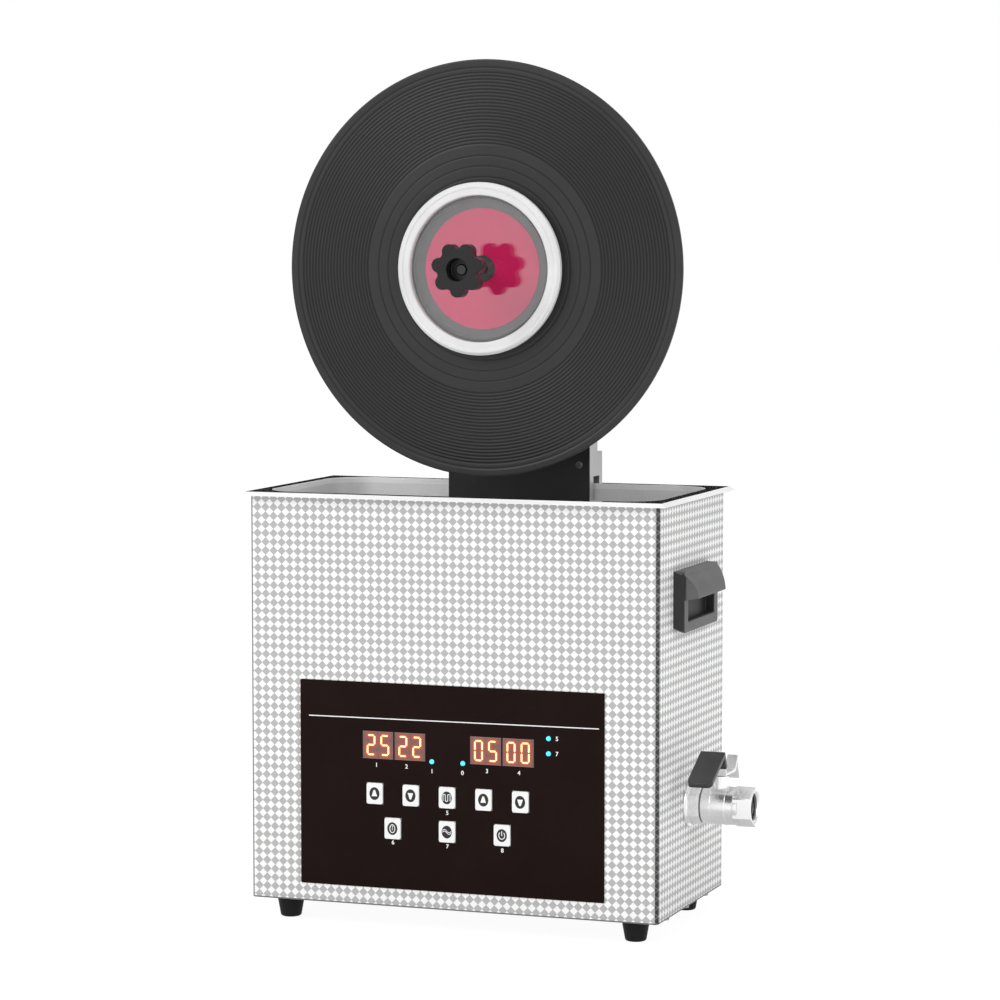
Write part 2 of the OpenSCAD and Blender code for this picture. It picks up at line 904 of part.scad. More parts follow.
// Plan of the blade seen from above, with the two rounded corners of its end
module blade_plan(w, back) {
    reach = -blade_end[0] + back;
    corner = 4.5 - (lever_w - w) / 2;
    translate([0, 0, -20])
        linear_extrude(60) {
            translate([-w / 2, -reach + corner])
                square([w, reach - corner + 30]);
            translate([-w / 2 + corner, -reach])
                square([w - 2 * corner, corner + 1]);
            for (s = [-1, 1])
                translate([s * (w / 2 - corner), -reach + corner])
                    circle(corner);
        }
}

lever_base = [-13.3, lever_t / 2];

module lever() {
    tail = [[7.5, lever_t / 2], [9, lever_t / 2], [15.5, 9], [19.5, -6]];
    far_end = ridge + (blade_end - ridge) * 0.98;
    color([0.85, 0.85, 0.86])
    at_stem()
        translate([0, 0, lever_z])
            difference() {
                union() {
                    intersection() {
                        strip([[8.5, lever_t / 2], lever_base, ridge, far_end], lever_t, lever_w - 2);
                        blade_plan(lever_w - 2, -1);
                    }
                    translate([4.1, 0, 0])
                        strip(tail, lever_t, 8);
                }
                translate([0, 0, -1])
                    cylinder(h = lever_t + 2, r = stem_d / 2 + run);
            }
}

module lever_sleeve() {
    skin = 0.8;
    start = lever_base + 0.35 * (ridge - lever_base);
    color([0.06, 0.06, 0.06])
    at_stem()
        translate([0, 0, lever_z])
            difference() {
                intersection() {
                    strip([start, ridge, blade_end], lever_t + 2 * skin, lever_w);
                    blade_plan(lever_w, 0);
                }
                intersection() {
                    strip([lever_base, ridge, ridge + (blade_end - ridge) * 0.98],
                        lever_t + 2 * run, lever_w - 2 + 2 * run);
                    blade_plan(lever_w - 2 + 2 * run, run - 1);
                }
            }
}

module lever_nut() {
    color([0.85, 0.85, 0.87])
    at_stem()
        translate([0, 0, lever_z + lever_t])
            difference() {
                union() {
                    linear_extrude(lever_nut_h)
                        hexagon(8);
                    cylinder(h = 0.8, r = 5);
                }
                translate([0, 0, -1])
                    cylinder(h = lever_nut_h + 2, r = stem_d / 2 + run);
            }
}

// Transducers, heater and power board under and round the tank

horn_h = 24;
disc_h = 5;
back_h = 14;
transducer_pitch = 82;

module transducer_places() {
    for (i = [-1 : 1])
        translate([i * transducer_pitch - 6, 8, tank_under])
            mirror([0, 0, 1])
                children();
}

module transducer_horns() {
    color([0.75, 0.76, 0.78])
    transducer_places()
        difference() {
            union() {
                cylinder(h = 3, r = 27);
                translate([0, 0, 3])
                    cylinder(h = horn_h - 3, r1 = 27, r2 = 19);
            }
            translate([0, 0, 8])
                cylinder(h = horn_h, r = 5 + slack);
        }
}

module transducer_rings() {
    color([0.85, 0.83, 0.72])
    transducer_places()
        for (i = [0, 1])
            translate([0, 0, horn_h + i * (disc_h + 0.3)])
                difference() {
                    cylinder(h = disc_h, r = 19);
                    translate([0, 0, -1])
                        cylinder(h = disc_h + 2, r = 7.5);
                }
}

module transducer_backs() {
    z0 = horn_h + 2 * disc_h + 0.3;
    color([0.45, 0.46, 0.48])
    transducer_places() {
        difference() {
            translate([0, 0, z0])
                cylinder(h = back_h, r = 19);
            translate([0, 0, z0 - 1])
                cylinder(h = back_h + 2, r = 5 + slack);
        }
        translate([0, 0, 9])
            cylinder(h = z0 + back_h - 9, r = 5);
        translate([0, 0, z0 + back_h])
            linear_extrude(6)
                hexagon(16);
    }
}

module heater() {
    side_margin = 38;
    pad_w = tank_w - 2 * side_margin;
    pad_h = 90;
    mat_t = 1.8;
    face = -tank_d / 2 - tank_t;
    color([0.75, 0.35, 0.15]) {
        upright(0, tank_floor + 60, face - mat_t, face)
            rounded_outline(pad_w, pad_h, 4);
        translate([drain_x - 80, side_y - 38, tank_under - 12])
            cylinder(h = 12, r = 8);
    }
}

module power_board() {
    z0 = plate_top + 6;
    color([0.75, 0.6, 0.3])
    translate([-70, -10, 0]) {
        for (sx = [-1, 1], sy = [-1, 1])
            translate([sx * 60, sy * 38, plate_top])
                cylinder(h = 7, r = 3.5);
        translate([-66, -44, z0])
            cube([132, 88, 1.6]);
        translate([-50, -34, z0 + 1])
            cube([40, 34, 30]);
        for (i = [0 : 4])
            translate([4 + 9 * i, -36, z0 + 1])
                cube([3, 30, 28]);
        translate([4, -36, z0 + 1])
            cube([39, 30, 5]);
        for (i = [0 : 2])
            translate([-36 + 26 * i, 22, z0 + 1])
                cylinder(h = 25, r = 9);
        translate([34, 12, z0 + 1])
            cylinder(h = 14, r = 13);
    }
}

// Mains inlet on the rear wall: socket, rocker switch and fuse drawer in one module

inlet_flange = [62, 54, 3];
socket_at = [-9, 6];
rocker_at = [16, 0];
drawer_at = [-9, -15];
rocker_r = 10.6;
rocker_w = 13;
rocker_tilt = 8;
inlet_face = cab_back + inlet_flange[2];
drawer_w = 22.4;
drawer_h = 8.4;
drawer_l = 24;

module at_inlet(p) {
    translate([inlet_x + p[0], inlet_face, inlet_z + p[1]])
        children();
}

module inlet_module() {
    depth = 31;
    color([0.08, 0.08, 0.08])
    difference() {
        union() {
            upright(inlet_x, inlet_z, cab_back, inlet_face)
                rounded_outline(inlet_flange[0], inlet_flange[1], 3);
            upright(inlet_x, inlet_z, inlet_face - depth, cab_back + 0.5)
                square([inlet_body, inlet_body], center = true);
        }
        at_inlet(socket_at)
            upright(0, 0, -17, 1)
                polygon([[-12, -8], [12, -8], [12, 4], [8, 8], [-8, 8], [-12, 4]]);
        at_inlet(rocker_at)
            upright(0, 0, -13, 1)
                square([rocker_w + 2 * gap, 2 * (rocker_r + gap)], center = true);
        at_inlet(drawer_at)
            upright(0, 0, -drawer_l - gap, 1)
                square([drawer_w + 2 * gap, drawer_h + 2 * gap], center = true);
    }
    color([0.8, 0.75, 0.6])
    at_inlet(socket_at)
        for (p = [[-7, 0.5], [7, 0.5], [0, 4]])
            upright(p[0], p[1], -17.5, -6)
                square([2, 4], center = true);
}

// The rocker rests tilted to off and turns about its pivot in the module
module rocker_switch() {
    pivot_in = 1.5;
    color([0.7, 0.08, 0.05])
    at_inlet(rocker_at)
        translate([0, -pivot_in, 0])
            rotate([-rocker_tilt, 0, 0])
                sideways(-rocker_w / 2, rocker_w / 2, 0, 0)
                    intersection() {
                        circle(r = rocker_r);
                        polygon([[-8.5, -20], [3.9, -20], [2, 0], [3.9, 20], [-8.5, 20]]);
                    }
}

module fuse_drawer() {
    color([0.1, 0.1, 0.1])
    at_inlet(drawer_at)
        difference() {
            union() {
                upright(0, 0, -drawer_l + 1, 1)
                    square([drawer_w, drawer_h], center = true);
                upright(0, 0, gap, 2)
                    rounded_outline(drawer_w + 2.4, drawer_h + 2.4, 1);
            }
            translate([-10.3, -15, -2.9])
                cube([20.6, 6.2, 20]);
        }
}

module fuse() {
    color([0.8, 0.8, 0.82])
    at_inlet(drawer_at)
        bar_x(-10, 10, -11.9, -2.9 + 2.6 + slack, 2.6);
}

// Rack: board, plate and column with the hook over the rear rim

module rack_outline(z0) {
    difference() {
        translate([-rack_w / 2, z0])
            square([rack_w, rack_top - z0]);
        translate([-slot_w / 2, slot_low])
            square([slot_w, slot_top - slot_low]);
    }
}

module rack_screw_places() {
    heights = [board_low + 10, hook_z + hook_h / 2, (hook_top + rack_top) / 2, rack_top - 9];
    for (sx = [-1, 1], z = heights)
        translate([sx * (rack_w / 2 - 8.2), 0, z])
            children();
}

module rack_board() {
    color([0.66, 0.66, 0.67])
    difference() {
        upright(0, 0, board_front, column_y)
            rack_outline(board_low);
        rack_screw_places()
            bar_y(0, 0, board_front - 1, column_y + 1, m3_r + slack);
    }
}

module rack_plate() {
    color([0.13, 0.13, 0.13])
    difference() {
        upright(0, 0, rack_y, board_front)
            rack_outline(board_low);
        rack_screw_places()
            bar_y(0, 0, rack_y - 1, board_front + 1, m3_r + slack);
    }
}

module rack_column() {
    color([0.66, 0.66, 0.67])
    difference() {
        union() {
            upright(0, 0, column_y, column_back)
                rack_outline(hook_z);
            translate([-rack_w / 2, column_y, hook_z])
                cube([rack_w, leg_back - column_y, hook_h]);
            translate([-rack_w / 2, leg_y, leg_low])
                cube([rack_w, leg_t, hook_z - leg_low + 1]);
        }
        rack_screw_places()
            bar_y(0, 0, column_y - 1, column_y + 5, m3_r + slack);
        bar_y(0, clamp_z, leg_y - 1, leg_back + 1, screw_r + run);
    }
}

module rim_pads() {
    color([0.07, 0.07, 0.07])
    for (sx = [-1, 1])
        translate([sx * rack_w * 0.27 - 15, column_y + 2, rim_z])
            cube([30, cab_back + rim_over - column_y - 2, pad_t]);
}

module rack_screws() {
    color([0.3, 0.3, 0.3])
    rack_screw_places() {
        bar_y(0, 0, rack_y, column_y - 0.5, m3_r);
        bar_y(0, 0, rack_y - 1.2, rack_y, m3_head_r);
    }
}

// A pad on the tip of a screw; the pad slides and the screw turns on it
module press_pad(r, t) {
    difference() {
        bar_y(0, 0, 0, t, r);
        bar_y(0, 0, t - 2, t + 1, 2 + run);
    }
}

module press_screw(t, l) {
    bar_y(0, 0, t - 2 + gap, t + gap + 1, 2);
    bar_y(0, 0, t + gap, l, screw_r);
}

clamp_pad_y = cab_back + gap;
clamp_pad_t = leg_y - clamp_pad_y - clamp_travel - gap;

module clamp_pad() {
    color([0.1, 0.1, 0.1])
    translate([0, clamp_pad_y, clamp_z])
        press_pad(pad_r, clamp_pad_t);
}

module clamp_screw() {
    head = leg_back - clamp_pad_y + 6;
    color([0.12, 0.12, 0.12])
    translate([0, clamp_pad_y, clamp_z]) {
        press_screw(clamp_pad_t, head + 2);
        upright(0, 0, head, head + 9)
            lobed(10, 6, 2.6);
    }
}

// Carriage: base with a tongue through the slot, motor box behind, keeper in front

module box_outline(r) {
    translate([0, (box_z[0] + box_z[1]) / 2])
        rounded_outline(box_w, box_z[1] - box_z[0], r);
}

module box_screw_places() {
    for (sx = [-1, 1], z = [box_z[0] + 5.5, box_z[1] - 5.5])
        translate([sx * (box_w / 2 - 5.5), 0, z])
            children();
}

module carriage() {
    color([0.3, 0.3, 0.31])
    difference() {
        union() {
            upright(0, 0, base_y, box_front)
                box_outline(3);
            upright(0, spin_z, keeper_y, base_y + 1)
                square([slot_w - 2 * gap, tongue_h], center = true);
        }
        bar_y(0, spin_z, keeper_y - 1, box_front + 1, spin_r + run);
        bar_y(lock_x, lock_z, base_y - 1, box_front + 1, shoe_r + slack);
        for (s = [-1, 1])
            bar_y(0, spin_z + s * tongue_h * 0.36, keeper_y - 1, keeper_y + 12, m3_r);
    }
}

module keeper_plate() {
    color([0.2, 0.2, 0.21]) {
        difference() {
            upright(0, spin_z, keeper_y - keeper_t, keeper_y)
                rounded_outline(40, tongue_h, 4);
            bar_y(0, spin_z, keeper_y - keeper_t - 1, keeper_y + 1, spin_r + gap);
        }
        for (s = [-1, 1])
            bar_y(0, spin_z + s * tongue_h * 0.36, keeper_y - keeper_t - 1.5, keeper_y, m3_head_r);
    }
}

module motor_box() {
    back = box_front + box_d;
    mid_z = (box_z[0] + box_z[1]) / 2;
    color([0.11, 0.11, 0.11])
    difference() {
        union() {
            difference() {
                upright(0, 0, box_front, back)
                    box_outline(3);
                upright(0, mid_z, box_front - 1, back - box_t)
                    rounded_outline(box_w - 2 * box_t, box_z[1] - box_z[0] - 2 * box_t, 2);
            }
            // sleeve that carries the lock screw
            bar_y(lock_x, lock_z, box_front + 4, back, screw_r + 3);
            // socket for the low-voltage lead
            bar_x(-box_w / 2 - 2, -box_w / 2 + 10, box_front + 24, spin_z - 30, 5);
            box_screw_places()
                bar_y(0, 0, box_front, back - 1, 3.4);
        }
        bar_y(lock_x, lock_z, box_front, back + 1, screw_r + run);
        bar_x(-box_w / 2 - 3, -box_w / 2 + 8, box_front + 24, spin_z - 30, 2.75);
        for (i = [-3 : 3])
            upright(i * 6, spin_z + 5, back - box_t - 1, back + 1)
                rounded_outline(2.4, 26, 1.1);
    }
}

module motor() {
    color([0.7, 0.7, 0.72])
    difference() {
        union() {
            bar_y(0, spin_z, box_front, box_front + motor_l, motor_d / 2);
            bar_y(0, spin_z, box_front + motor_l, box_front + motor_l + 4, 8);
        }
        bar_y(0, spin_z, box_front - 1, shaft_back + gap, 3 + run);
    }
}

module lock_shoe() {
    color([0.72, 0.58, 0.28])
    translate([lock_x, base_y, lock_z])
        press_pad(shoe_r, shoe_t);
}

module lock_knob() {
    head = box_front - base_y + box_d + 2;
    color([0.08, 0.08, 0.08])
    translate([lock_x, base_y, lock_z]) {
        press_screw(shoe_t, head + 2);
        upright(0, 0, head, head + 11)
            lobed(11.5, 7, 3);
    }
}

// Spindle, record and the clamp that grips it

// A knob's outline: n round lobes of radius a whose tops lie at radius r, with a round
// hollow between each two that bites slightly into both
module lobed(r, n, a) {
    bite = 0.06;
    turn = 180 / n;
    at = r - a;
    out = r - 0.23 * a;
    d = sqrt(at * at + out * out - 2 * at * out * cos(turn));
    tip = [at + (out * cos(turn) - at) * a / d, out * sin(turn) * a / d];
    difference() {
        union() {
            circle(norm(tip));
            for (i = [0 : n - 1])
                rotate(-90 + i * 2 * turn)
                    translate([at, 0])
                        circle(a);
        }
        for (i = [0 : n - 1])
            rotate(-90 + turn + i * 2 * turn)
                translate([out, 0])
                    circle(d - a + bite);
    }
}

module spindle() {
    color([0.55, 0.56, 0.58]) {
        bar_y(0, spin_z, nose_end, collar_y + 1, nose_r);
        bar_y(0, spin_z, collar_y, collar_y + 8, boss_r - gap);
        bar_y(0, spin_z, collar_y + 7, box_front - gap, spin_r);
        bar_y(0, spin_z, box_front - gap - 1, shaft_back, 3);
    }
}

// The record's section: a bead at the edge, the playing area and the thicker label area
module record() {
    r = rec_d / 2;
    hole = nose_r + 0.02;
    edge = 0.35;
    label_edge = 50.5;
    color([0.1, 0.1, 0.1])
    translate([0, rec_y, spin_z])
        rotate([90, 0, 0])
            rotate_extrude($fn = 180)
                polygon([[hole, -rec_label_t / 2], [label_edge, -rec_label_t / 2],
                    [label_edge + 3, -rec_t / 2], [r - 6, -rec_t / 2],
                    [r - 4, -rec_t / 2 - edge], [r - 1.2, -rec_t / 2 - edge],
                    [r, -0.4], [r, 0.4],
                    [r - 1.2, rec_t / 2 + edge], [r - 4, rec_t / 2 + edge],
                    [r - 6, rec_t / 2], [label_edge + 3, rec_t / 2],
                    [label_edge, rec_label_t / 2], [hole, rec_label_t / 2]]);
}

// Front and rear pieces share one shape, mirrored about the record
module both_sides() {
    translate([0, rec_y, spin_z]) {
        rotate([90, 0, 0])
            children();
        mirror([0, 1, 0])
            rotate([90, 0, 0])
                children();
    }
}

module seal_rings() {
    face = rec_t / 2;
    top = face + ring_l;
    step = ring_r - 4.6;
    flange_t = 5.5;
    color([0.93, 0.93, 0.93])
    both_sides()
        rotate_extrude($fn = 120)
            polygon([[ring_in + 1.5, face], [ring_in + 3.2, face], [ring_r, top - flange_t],
                [ring_r, top - 2], [ring_r - 2, top], [step + 0.6, top],
                [step, top - 0.7], [step - 0.6, top - 0.4], [ring_in + 0.8, top - 0.4],
                [ring_in, top - 1.2], [ring_in, face + 1.5]]);
}

module clamp_discs() {
    face = rec_label_t / 2;
    top = ring_l + rec_t / 2 - cover_in - cover_t;
    color([0.22, 0.22, 0.22])
    both_sides()
        rotate_extrude($fn = 120)
            polygon([[nose_r + run, face], [disc_r - 3, face], [disc_r, face + 3],
                [disc_r, top], [disc_r - 2, top], [disc_r - 2, top - cup_floor + 1],
                [disc_r - 3, top - cup_floor], [boss_r, top - cup_floor],
                [boss_r, top - boss_deep], [nose_r + run, top - boss_deep]]);
}

module label_disc() {
    y_back = cover_back + cup_floor;
    color([0.72, 0.13, 0.31])
    difference() {
        bar_y(0, spin_z, y_back - label_t, y_back, label_d / 2);
        bar_y(0, spin_z, y_back - label_t - 1, y_back + 1, boss_r);
    }
}

module front_cover() {
    color([0.9, 0.75, 0.8, 0.35])
    difference() {
        bar_y(0, spin_z, cover_front, cover_back, disc_r);
        bar_y(0, spin_z, cover_front - 1, cover_back + 1, nose_r + run);
    }
}

module clamp_sleeve() {
    color([0.3, 0.3, 0.31])
    difference() {
        bar_y(0, spin_z, knob_back + gap, cover_front - gap, sleeve_r);
        bar_y(0, spin_z, knob_back - 1, cover_front + 1, nose_r + run);
    }
}

module knob() {
    color([0.07, 0.07, 0.07])
    difference() {
        union() {
            upright(0, spin_z, knob_y, knob_head_back)
                lobed(knob_d / 2, 7, 5.2);
            bar_y(0, spin_z, knob_head_back - 1, knob_back, neck_r);
        }
        bar_y(0, spin_z, knob_y - 1, knob_head_back - 1, knob_bore / 2);
        bar_y(0, spin_z, knob_y, knob_back + 1, nose_r + run);
    }
}

housing();
tank();
base_plate();
feet();
cabinet_screws();
handles();
control_panel();
control_board();
board_standoffs();
displays();
indicator_lights();
key_switches();
key(0);  // key_heat_up
key(1);  // key_heat_down
key(2);  // key_degas
key(3);  // key_time_up
key(4);  // key_time_down
key(5);  // key_heat
key(6);  // key_gentle
key(7);  // key_power
drain_elbow();
wall_nut();
valve_body();
valve_end();
valve_seals();
valve_ball();
valve_stem();
lever();
lever_sleeve();
lever_nut();
transducer_horns();
transducer_rings();
transducer_backs();
heater();
power_board();
inlet_module();
rocker_switch();
fuse_drawer();
fuse();
rack_board();
rack_plate();
rack_column();
rim_pads();
rack_screws();
clamp_pad();
clamp_screw();
carriage();
motor_box();
keeper_plate();
motor();
lock_shoe();
lock_knob();
spindle();
record();
seal_rings();
clamp_discs();
label_disc();
front_cover();
clamp_sleeve();
knob();
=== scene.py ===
import json
import math
from functools import partial

import bmesh
import bpy
from mathutils import Matrix, Vector


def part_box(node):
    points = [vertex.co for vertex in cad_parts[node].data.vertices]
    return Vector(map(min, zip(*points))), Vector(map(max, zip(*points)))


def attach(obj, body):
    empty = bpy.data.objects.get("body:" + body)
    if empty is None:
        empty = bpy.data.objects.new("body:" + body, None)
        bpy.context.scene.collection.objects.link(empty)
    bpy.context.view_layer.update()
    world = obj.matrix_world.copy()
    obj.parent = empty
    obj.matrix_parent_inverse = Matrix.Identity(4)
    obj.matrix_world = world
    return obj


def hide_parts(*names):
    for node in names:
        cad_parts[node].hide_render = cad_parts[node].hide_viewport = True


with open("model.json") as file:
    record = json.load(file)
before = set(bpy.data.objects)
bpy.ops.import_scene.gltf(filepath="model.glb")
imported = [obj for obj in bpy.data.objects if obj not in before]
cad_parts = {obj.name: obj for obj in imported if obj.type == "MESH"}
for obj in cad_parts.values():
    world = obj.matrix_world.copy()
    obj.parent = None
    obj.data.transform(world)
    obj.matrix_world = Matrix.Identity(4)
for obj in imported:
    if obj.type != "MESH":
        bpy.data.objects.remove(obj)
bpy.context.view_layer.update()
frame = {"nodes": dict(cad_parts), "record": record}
nodes = frame["nodes"]
behaviour = frame["record"]["behaviour"]
bodyOfNode = {node: body for body, members in behaviour["bodies"].items() for node in members}
slotOfNode = {row["node"]: row["material_slot"] for row in frame["record"]["subparts"]}
print("stage: frame loaded,", len(nodes), "nodes")


# Colours are written as they look on a screen, 0 to 255, and turned into light values here
def tone(red, green=None, blue=None):
    if green is None:
        green = blue = red
    values = []
    for part in (red, green, blue):
        share = part / 255
        values.append(share / 12.92 if share <= 0.04045 else ((share + 0.055) / 1.055) ** 2.4)
    return (*values, 1.0)


# Small helpers for node trees
def addNode(tree, kind, **settings):
    made = tree.nodes.new(kind)
    for name, value in settings.items():
        setattr(made, name, value)
    return made


def feed(tree, socket, value):
    # A socket takes either another node's output or a plain number
    if isinstance(value, bpy.types.NodeSocket):
        tree.links.new(value, socket)
    else:
        socket.default_value = value


def maths(tree, operation, first, second=None, third=None):
    made = addNode(tree, "ShaderNodeMath", operation=operation)
    for place, value in enumerate((first, second, third)):
        if value is not None:
            feed(tree, made.inputs[place], value)
    return made.outputs[0]


def radiusOf(tree, first, second):
    # Distance from an axis, from the two coordinates across it
    squares = [maths(tree, "MULTIPLY", item, item) for item in (first, second)]
    return maths(tree, "SQRT", maths(tree, "ADD", *squares))


def objectCoordinates(tree):
    place = addNode(tree, "ShaderNodeTexCoord")
    apart = addNode(tree, "ShaderNodeSeparateXYZ")
    tree.links.new(place.outputs["Object"], apart.inputs[0])
    return place.outputs["Object"], apart.outputs


def mixColours(tree, share, first, second):
    mixer = addNode(tree, "ShaderNodeMix", data_type="RGBA")
    feed(tree, mixer.inputs[0], share)
    feed(tree, mixer.inputs[6], first)
    feed(tree, mixer.inputs[7], second)
    return mixer.outputs[2]


def noise(tree, where, scale, detail=4.0, stretch=None):
    if stretch is not None:
        mapping = addNode(tree, "ShaderNodeMapping")
        tree.links.new(where, mapping.inputs["Vector"])
        mapping.inputs["Scale"].default_value = stretch
        where = mapping.outputs["Vector"]
    made = addNode(tree, "ShaderNodeTexNoise")
    tree.links.new(where, made.inputs["Vector"])
    made.inputs["Scale"].default_value = scale
    made.inputs["Detail"].default_value = detail
    return made.outputs["Fac"]


def between(tree, value, low, high, outLow, outHigh):
    made = addNode(tree, "ShaderNodeMapRange")
    feed(tree, made.inputs["Value"], value)
    for name, number in (("From Min", low), ("From Max", high), ("To Min", outLow), ("To Max", outHigh)):
        made.inputs[name].default_value = number
    return made.outputs["Result"]


def bump(tree, shader, height, strength, distance):
    made = addNode(tree, "ShaderNodeBump")
    feed(tree, made.inputs["Height"], height)
    made.inputs["Strength"].default_value = strength
    made.inputs["Distance"].default_value = distance
    tree.links.new(made.outputs["Normal"], shader.inputs["Normal"])


def blankMaterial(name, roughness, metallic=0.0, specular=0.5):
    made = bpy.data.materials.new(name)
    made.use_nodes = True
    tree = made.node_tree
    shader = next(item for item in tree.nodes if item.type == "BSDF_PRINCIPLED")
    shader.inputs["Roughness"].default_value = roughness
    shader.inputs["Metallic"].default_value = metallic
    shader.inputs["Specular IOR Level"].default_value = specular
    return made, tree, shader


def twoTone(tree, value, first, second, low=0.35, high=0.65):
    # Two close colours, shared out by a pattern's value
    return mixColours(tree, between(tree, value, low, high, 0.0, 1.0), first, second)


def unevenGloss(tree, shader, value, roughness, swing):
    made = between(tree, value, 0.3, 0.7, roughness - swing, roughness + swing)
    feed(tree, shader.inputs["Roughness"], made)


def facingParts(tree):
    # The three parts of the direction that a face looks in
    facing = addNode(tree, "ShaderNodeSeparateXYZ")
    tree.links.new(addNode(tree, "ShaderNodeNewGeometry").outputs["True Normal"], facing.inputs[0])
    return facing.outputs


# What all moulded, cast and turned finishes share
plainDetail = {"patchDetail": 3.0, "grainDetail": 2.0, "glossSwing": 0.06, "bumpStrength": 0.35}


# A moulded, cast or turned finish: two close colours in soft patches, a fine grain and a little
# unevenness in its gloss
def plainFinish(name, colour, other, roughness, metallic=0.0, specular=0.5, patch=40.0, grain=1200.0,
                depth=0.00003):
    made, tree, shader = blankMaterial(name, roughness, metallic, specular)
    where, _ = objectCoordinates(tree)
    patches = noise(tree, where, patch, plainDetail["patchDetail"])
    feed(tree, shader.inputs["Base Color"], twoTone(tree, patches, colour, other))
    fine = noise(tree, where, grain, plainDetail["grainDetail"])
    unevenGloss(tree, shader, fine, roughness, plainDetail["glossSwing"])
    bump(tree, shader, fine, plainDetail["bumpStrength"], depth)
    return made


# Cabinet sheet: white diamonds on grey, with painted shade on the bend at the right upright corners and a
# thin painted shade line at the left ones
sheetPattern = {
    "pitch": 0.00625,          # spacing of the diamonds, both ways
    "fill": 0.478,             # half size of a diamond as a share of the pitch; 0.5 touches
    "fade": 0.02,              # softness of a diamond's edge, as a share of the pitch
    "countFrom": 10.0,         # metres added before counting, so that no place is below zero
    "diamond": tone(253),
    "ground": tone(186),
    # painted shade on the rounded upright corners, and the paler zigzag of diamonds within it
    "bend": tone(48),
    "bendLine": tone(118),
    "bendOnFace": 0.0020,      # how far the painted shade on the bend reaches along a front or rear wall
    "bendOnSide": 0.0030,      # and along a side wall
    "bendFade": 0.05,
    "leftOnFace": 0.0019,      # at the left corners only a thin line of the painted shade shows from the front
    "leftOnSide": 0.0029,
    "leftFade": 0.08,
    "bottomLine": 0.0009,      # height of the thin dark line along the walls' lower edge
    "bottomFade": 0.0003,
    "lineTone": tone(112),
    "zigzagWidth": 0.0062,     # the paler zigzag of diamonds within the painted shade on the bend
    "zigzagFrom": 0.05,
    "zigzagTo": 0.09,
    "groundRough": 0.46,
    "diamondRough": 0.36,
    "roughSwing": 0.03,
    "grain": 900.0,
    "grainShare": 0.2,
    "bumpStrength": 0.12,
    "bumpDepth": 0.00004,
}


def cabinetSheetMaterial(cabinetBox):
    look = sheetPattern
    made, tree, shader = blankMaterial("patternedSheet", look["groundRough"], 0.0, 0.4)
    m = partial(maths, tree)
    where, parts = objectCoordinates(tree)
    low, high = cabinetBox
    pitch = look["pitch"]
    along = m("ADD", parts["X"], parts["Y"])
    acrossShare = m("FRACT", m("DIVIDE", m("ADD", along, look["countFrom"] + 0.5 * pitch), pitch))
    upShare = m("FRACT", m("DIVIDE", m("ADD", parts["Z"], look["countFrom"]), pitch))
    acrossOff = m("ABSOLUTE", m("SUBTRACT", acrossShare, 0.5))
    upOff = m("ABSOLUTE", m("SUBTRACT", upShare, 0.5))
    reach = m("ADD", acrossOff, upOff)
    inside = between(tree, reach, look["fill"] - look["fade"], look["fill"] + look["fade"], 1.0, 0.0)
    colour = mixColours(tree, inside, look["ground"], look["diamond"])
    # a corner lies close to both a side wall and a front or rear wall
    fromSide = m("SUBTRACT", high.x, m("ABSOLUTE", parts["X"]))
    fromFace = m("SUBTRACT", high.y, m("ABSOLUTE", parts["Y"]))

    def cornerBand(onFace, onSide, fade):
        share = m("MAXIMUM", m("DIVIDE", fromSide, onFace), m("DIVIDE", fromFace, onSide))
        return between(tree, share, 1.0 - fade, 1.0 + fade, 1.0, 0.0)

    # painted shade on the bend of the right corners only, and a thin painted shade line at the left ones
    isRight = m("GREATER_THAN", parts["X"], 0.0)
    bend = m("MULTIPLY", cornerBand(look["bendOnFace"], look["bendOnSide"], look["bendFade"]), isRight)
    leftPaintedShadeLine = cornerBand(look["leftOnFace"], look["leftOnSide"], look["leftFade"])
    bottomLine = between(tree, m("SUBTRACT", parts["Z"], low.z), look["bottomLine"],
                         look["bottomLine"] + look["bottomFade"], 1.0, 0.0)
    zigzag = m("ABSOLUTE", m("SUBTRACT", m("DIVIDE", fromSide, look["zigzagWidth"]), upOff))
    line = between(tree, zigzag, look["zigzagFrom"], look["zigzagTo"], 1.0, 0.0)
    bendColour = mixColours(tree, line, look["bend"], look["bendLine"])
    colour = mixColours(tree, m("MAXIMUM", leftPaintedShadeLine, bottomLine), colour, look["lineTone"])
    feed(tree, shader.inputs["Base Color"], mixColours(tree, bend, colour, bendColour))
    fine = noise(tree, where, look["grain"], 2.0)
    gloss = m("ADD", between(tree, inside, 0, 1, look["groundRough"], look["diamondRough"]),
              between(tree, fine, 0.3, 0.7, -look["roughSwing"], look["roughSwing"]))
    feed(tree, shader.inputs["Roughness"], gloss)
    relief = m("ADD", inside, m("MULTIPLY", fine, look["grainShare"]))
    bump(tree, shader, relief, look["bumpStrength"], look["bumpDepth"])
    return made


# Drawn metal: long soft streaks in gloss and colour
drawnSteel = {"streak": 60.0, "patch": 9.0, "streakShare": 0.6, "glossSwing": 0.05, "bumpStrength": 0.2,
              "bumpDepth": 0.00002}


def drawnSteelMaterial(name, colour, other, roughness, stretch):
    made, tree, shader = blankMaterial(name, roughness, 1.0, 0.5)
    m = partial(maths, tree)
    where, _ = objectCoordinates(tree)
    streaks = noise(tree, where, drawnSteel["streak"], 6.0, stretch)
    patches = noise(tree, where, drawnSteel["patch"], 3.0)
    mixed = m("ADD", m("MULTIPLY", streaks, drawnSteel["streakShare"]),
              m("MULTIPLY", patches, 1.0 - drawnSteel["streakShare"]))
    feed(tree, shader.inputs["Base Color"], twoTone(tree, mixed, colour, other))
    unevenGloss(tree, shader, streaks, roughness, drawnSteel["glossSwing"])
    bump(tree, shader, streaks, drawnSteel["bumpStrength"], drawnSteel["bumpDepth"])
    return made


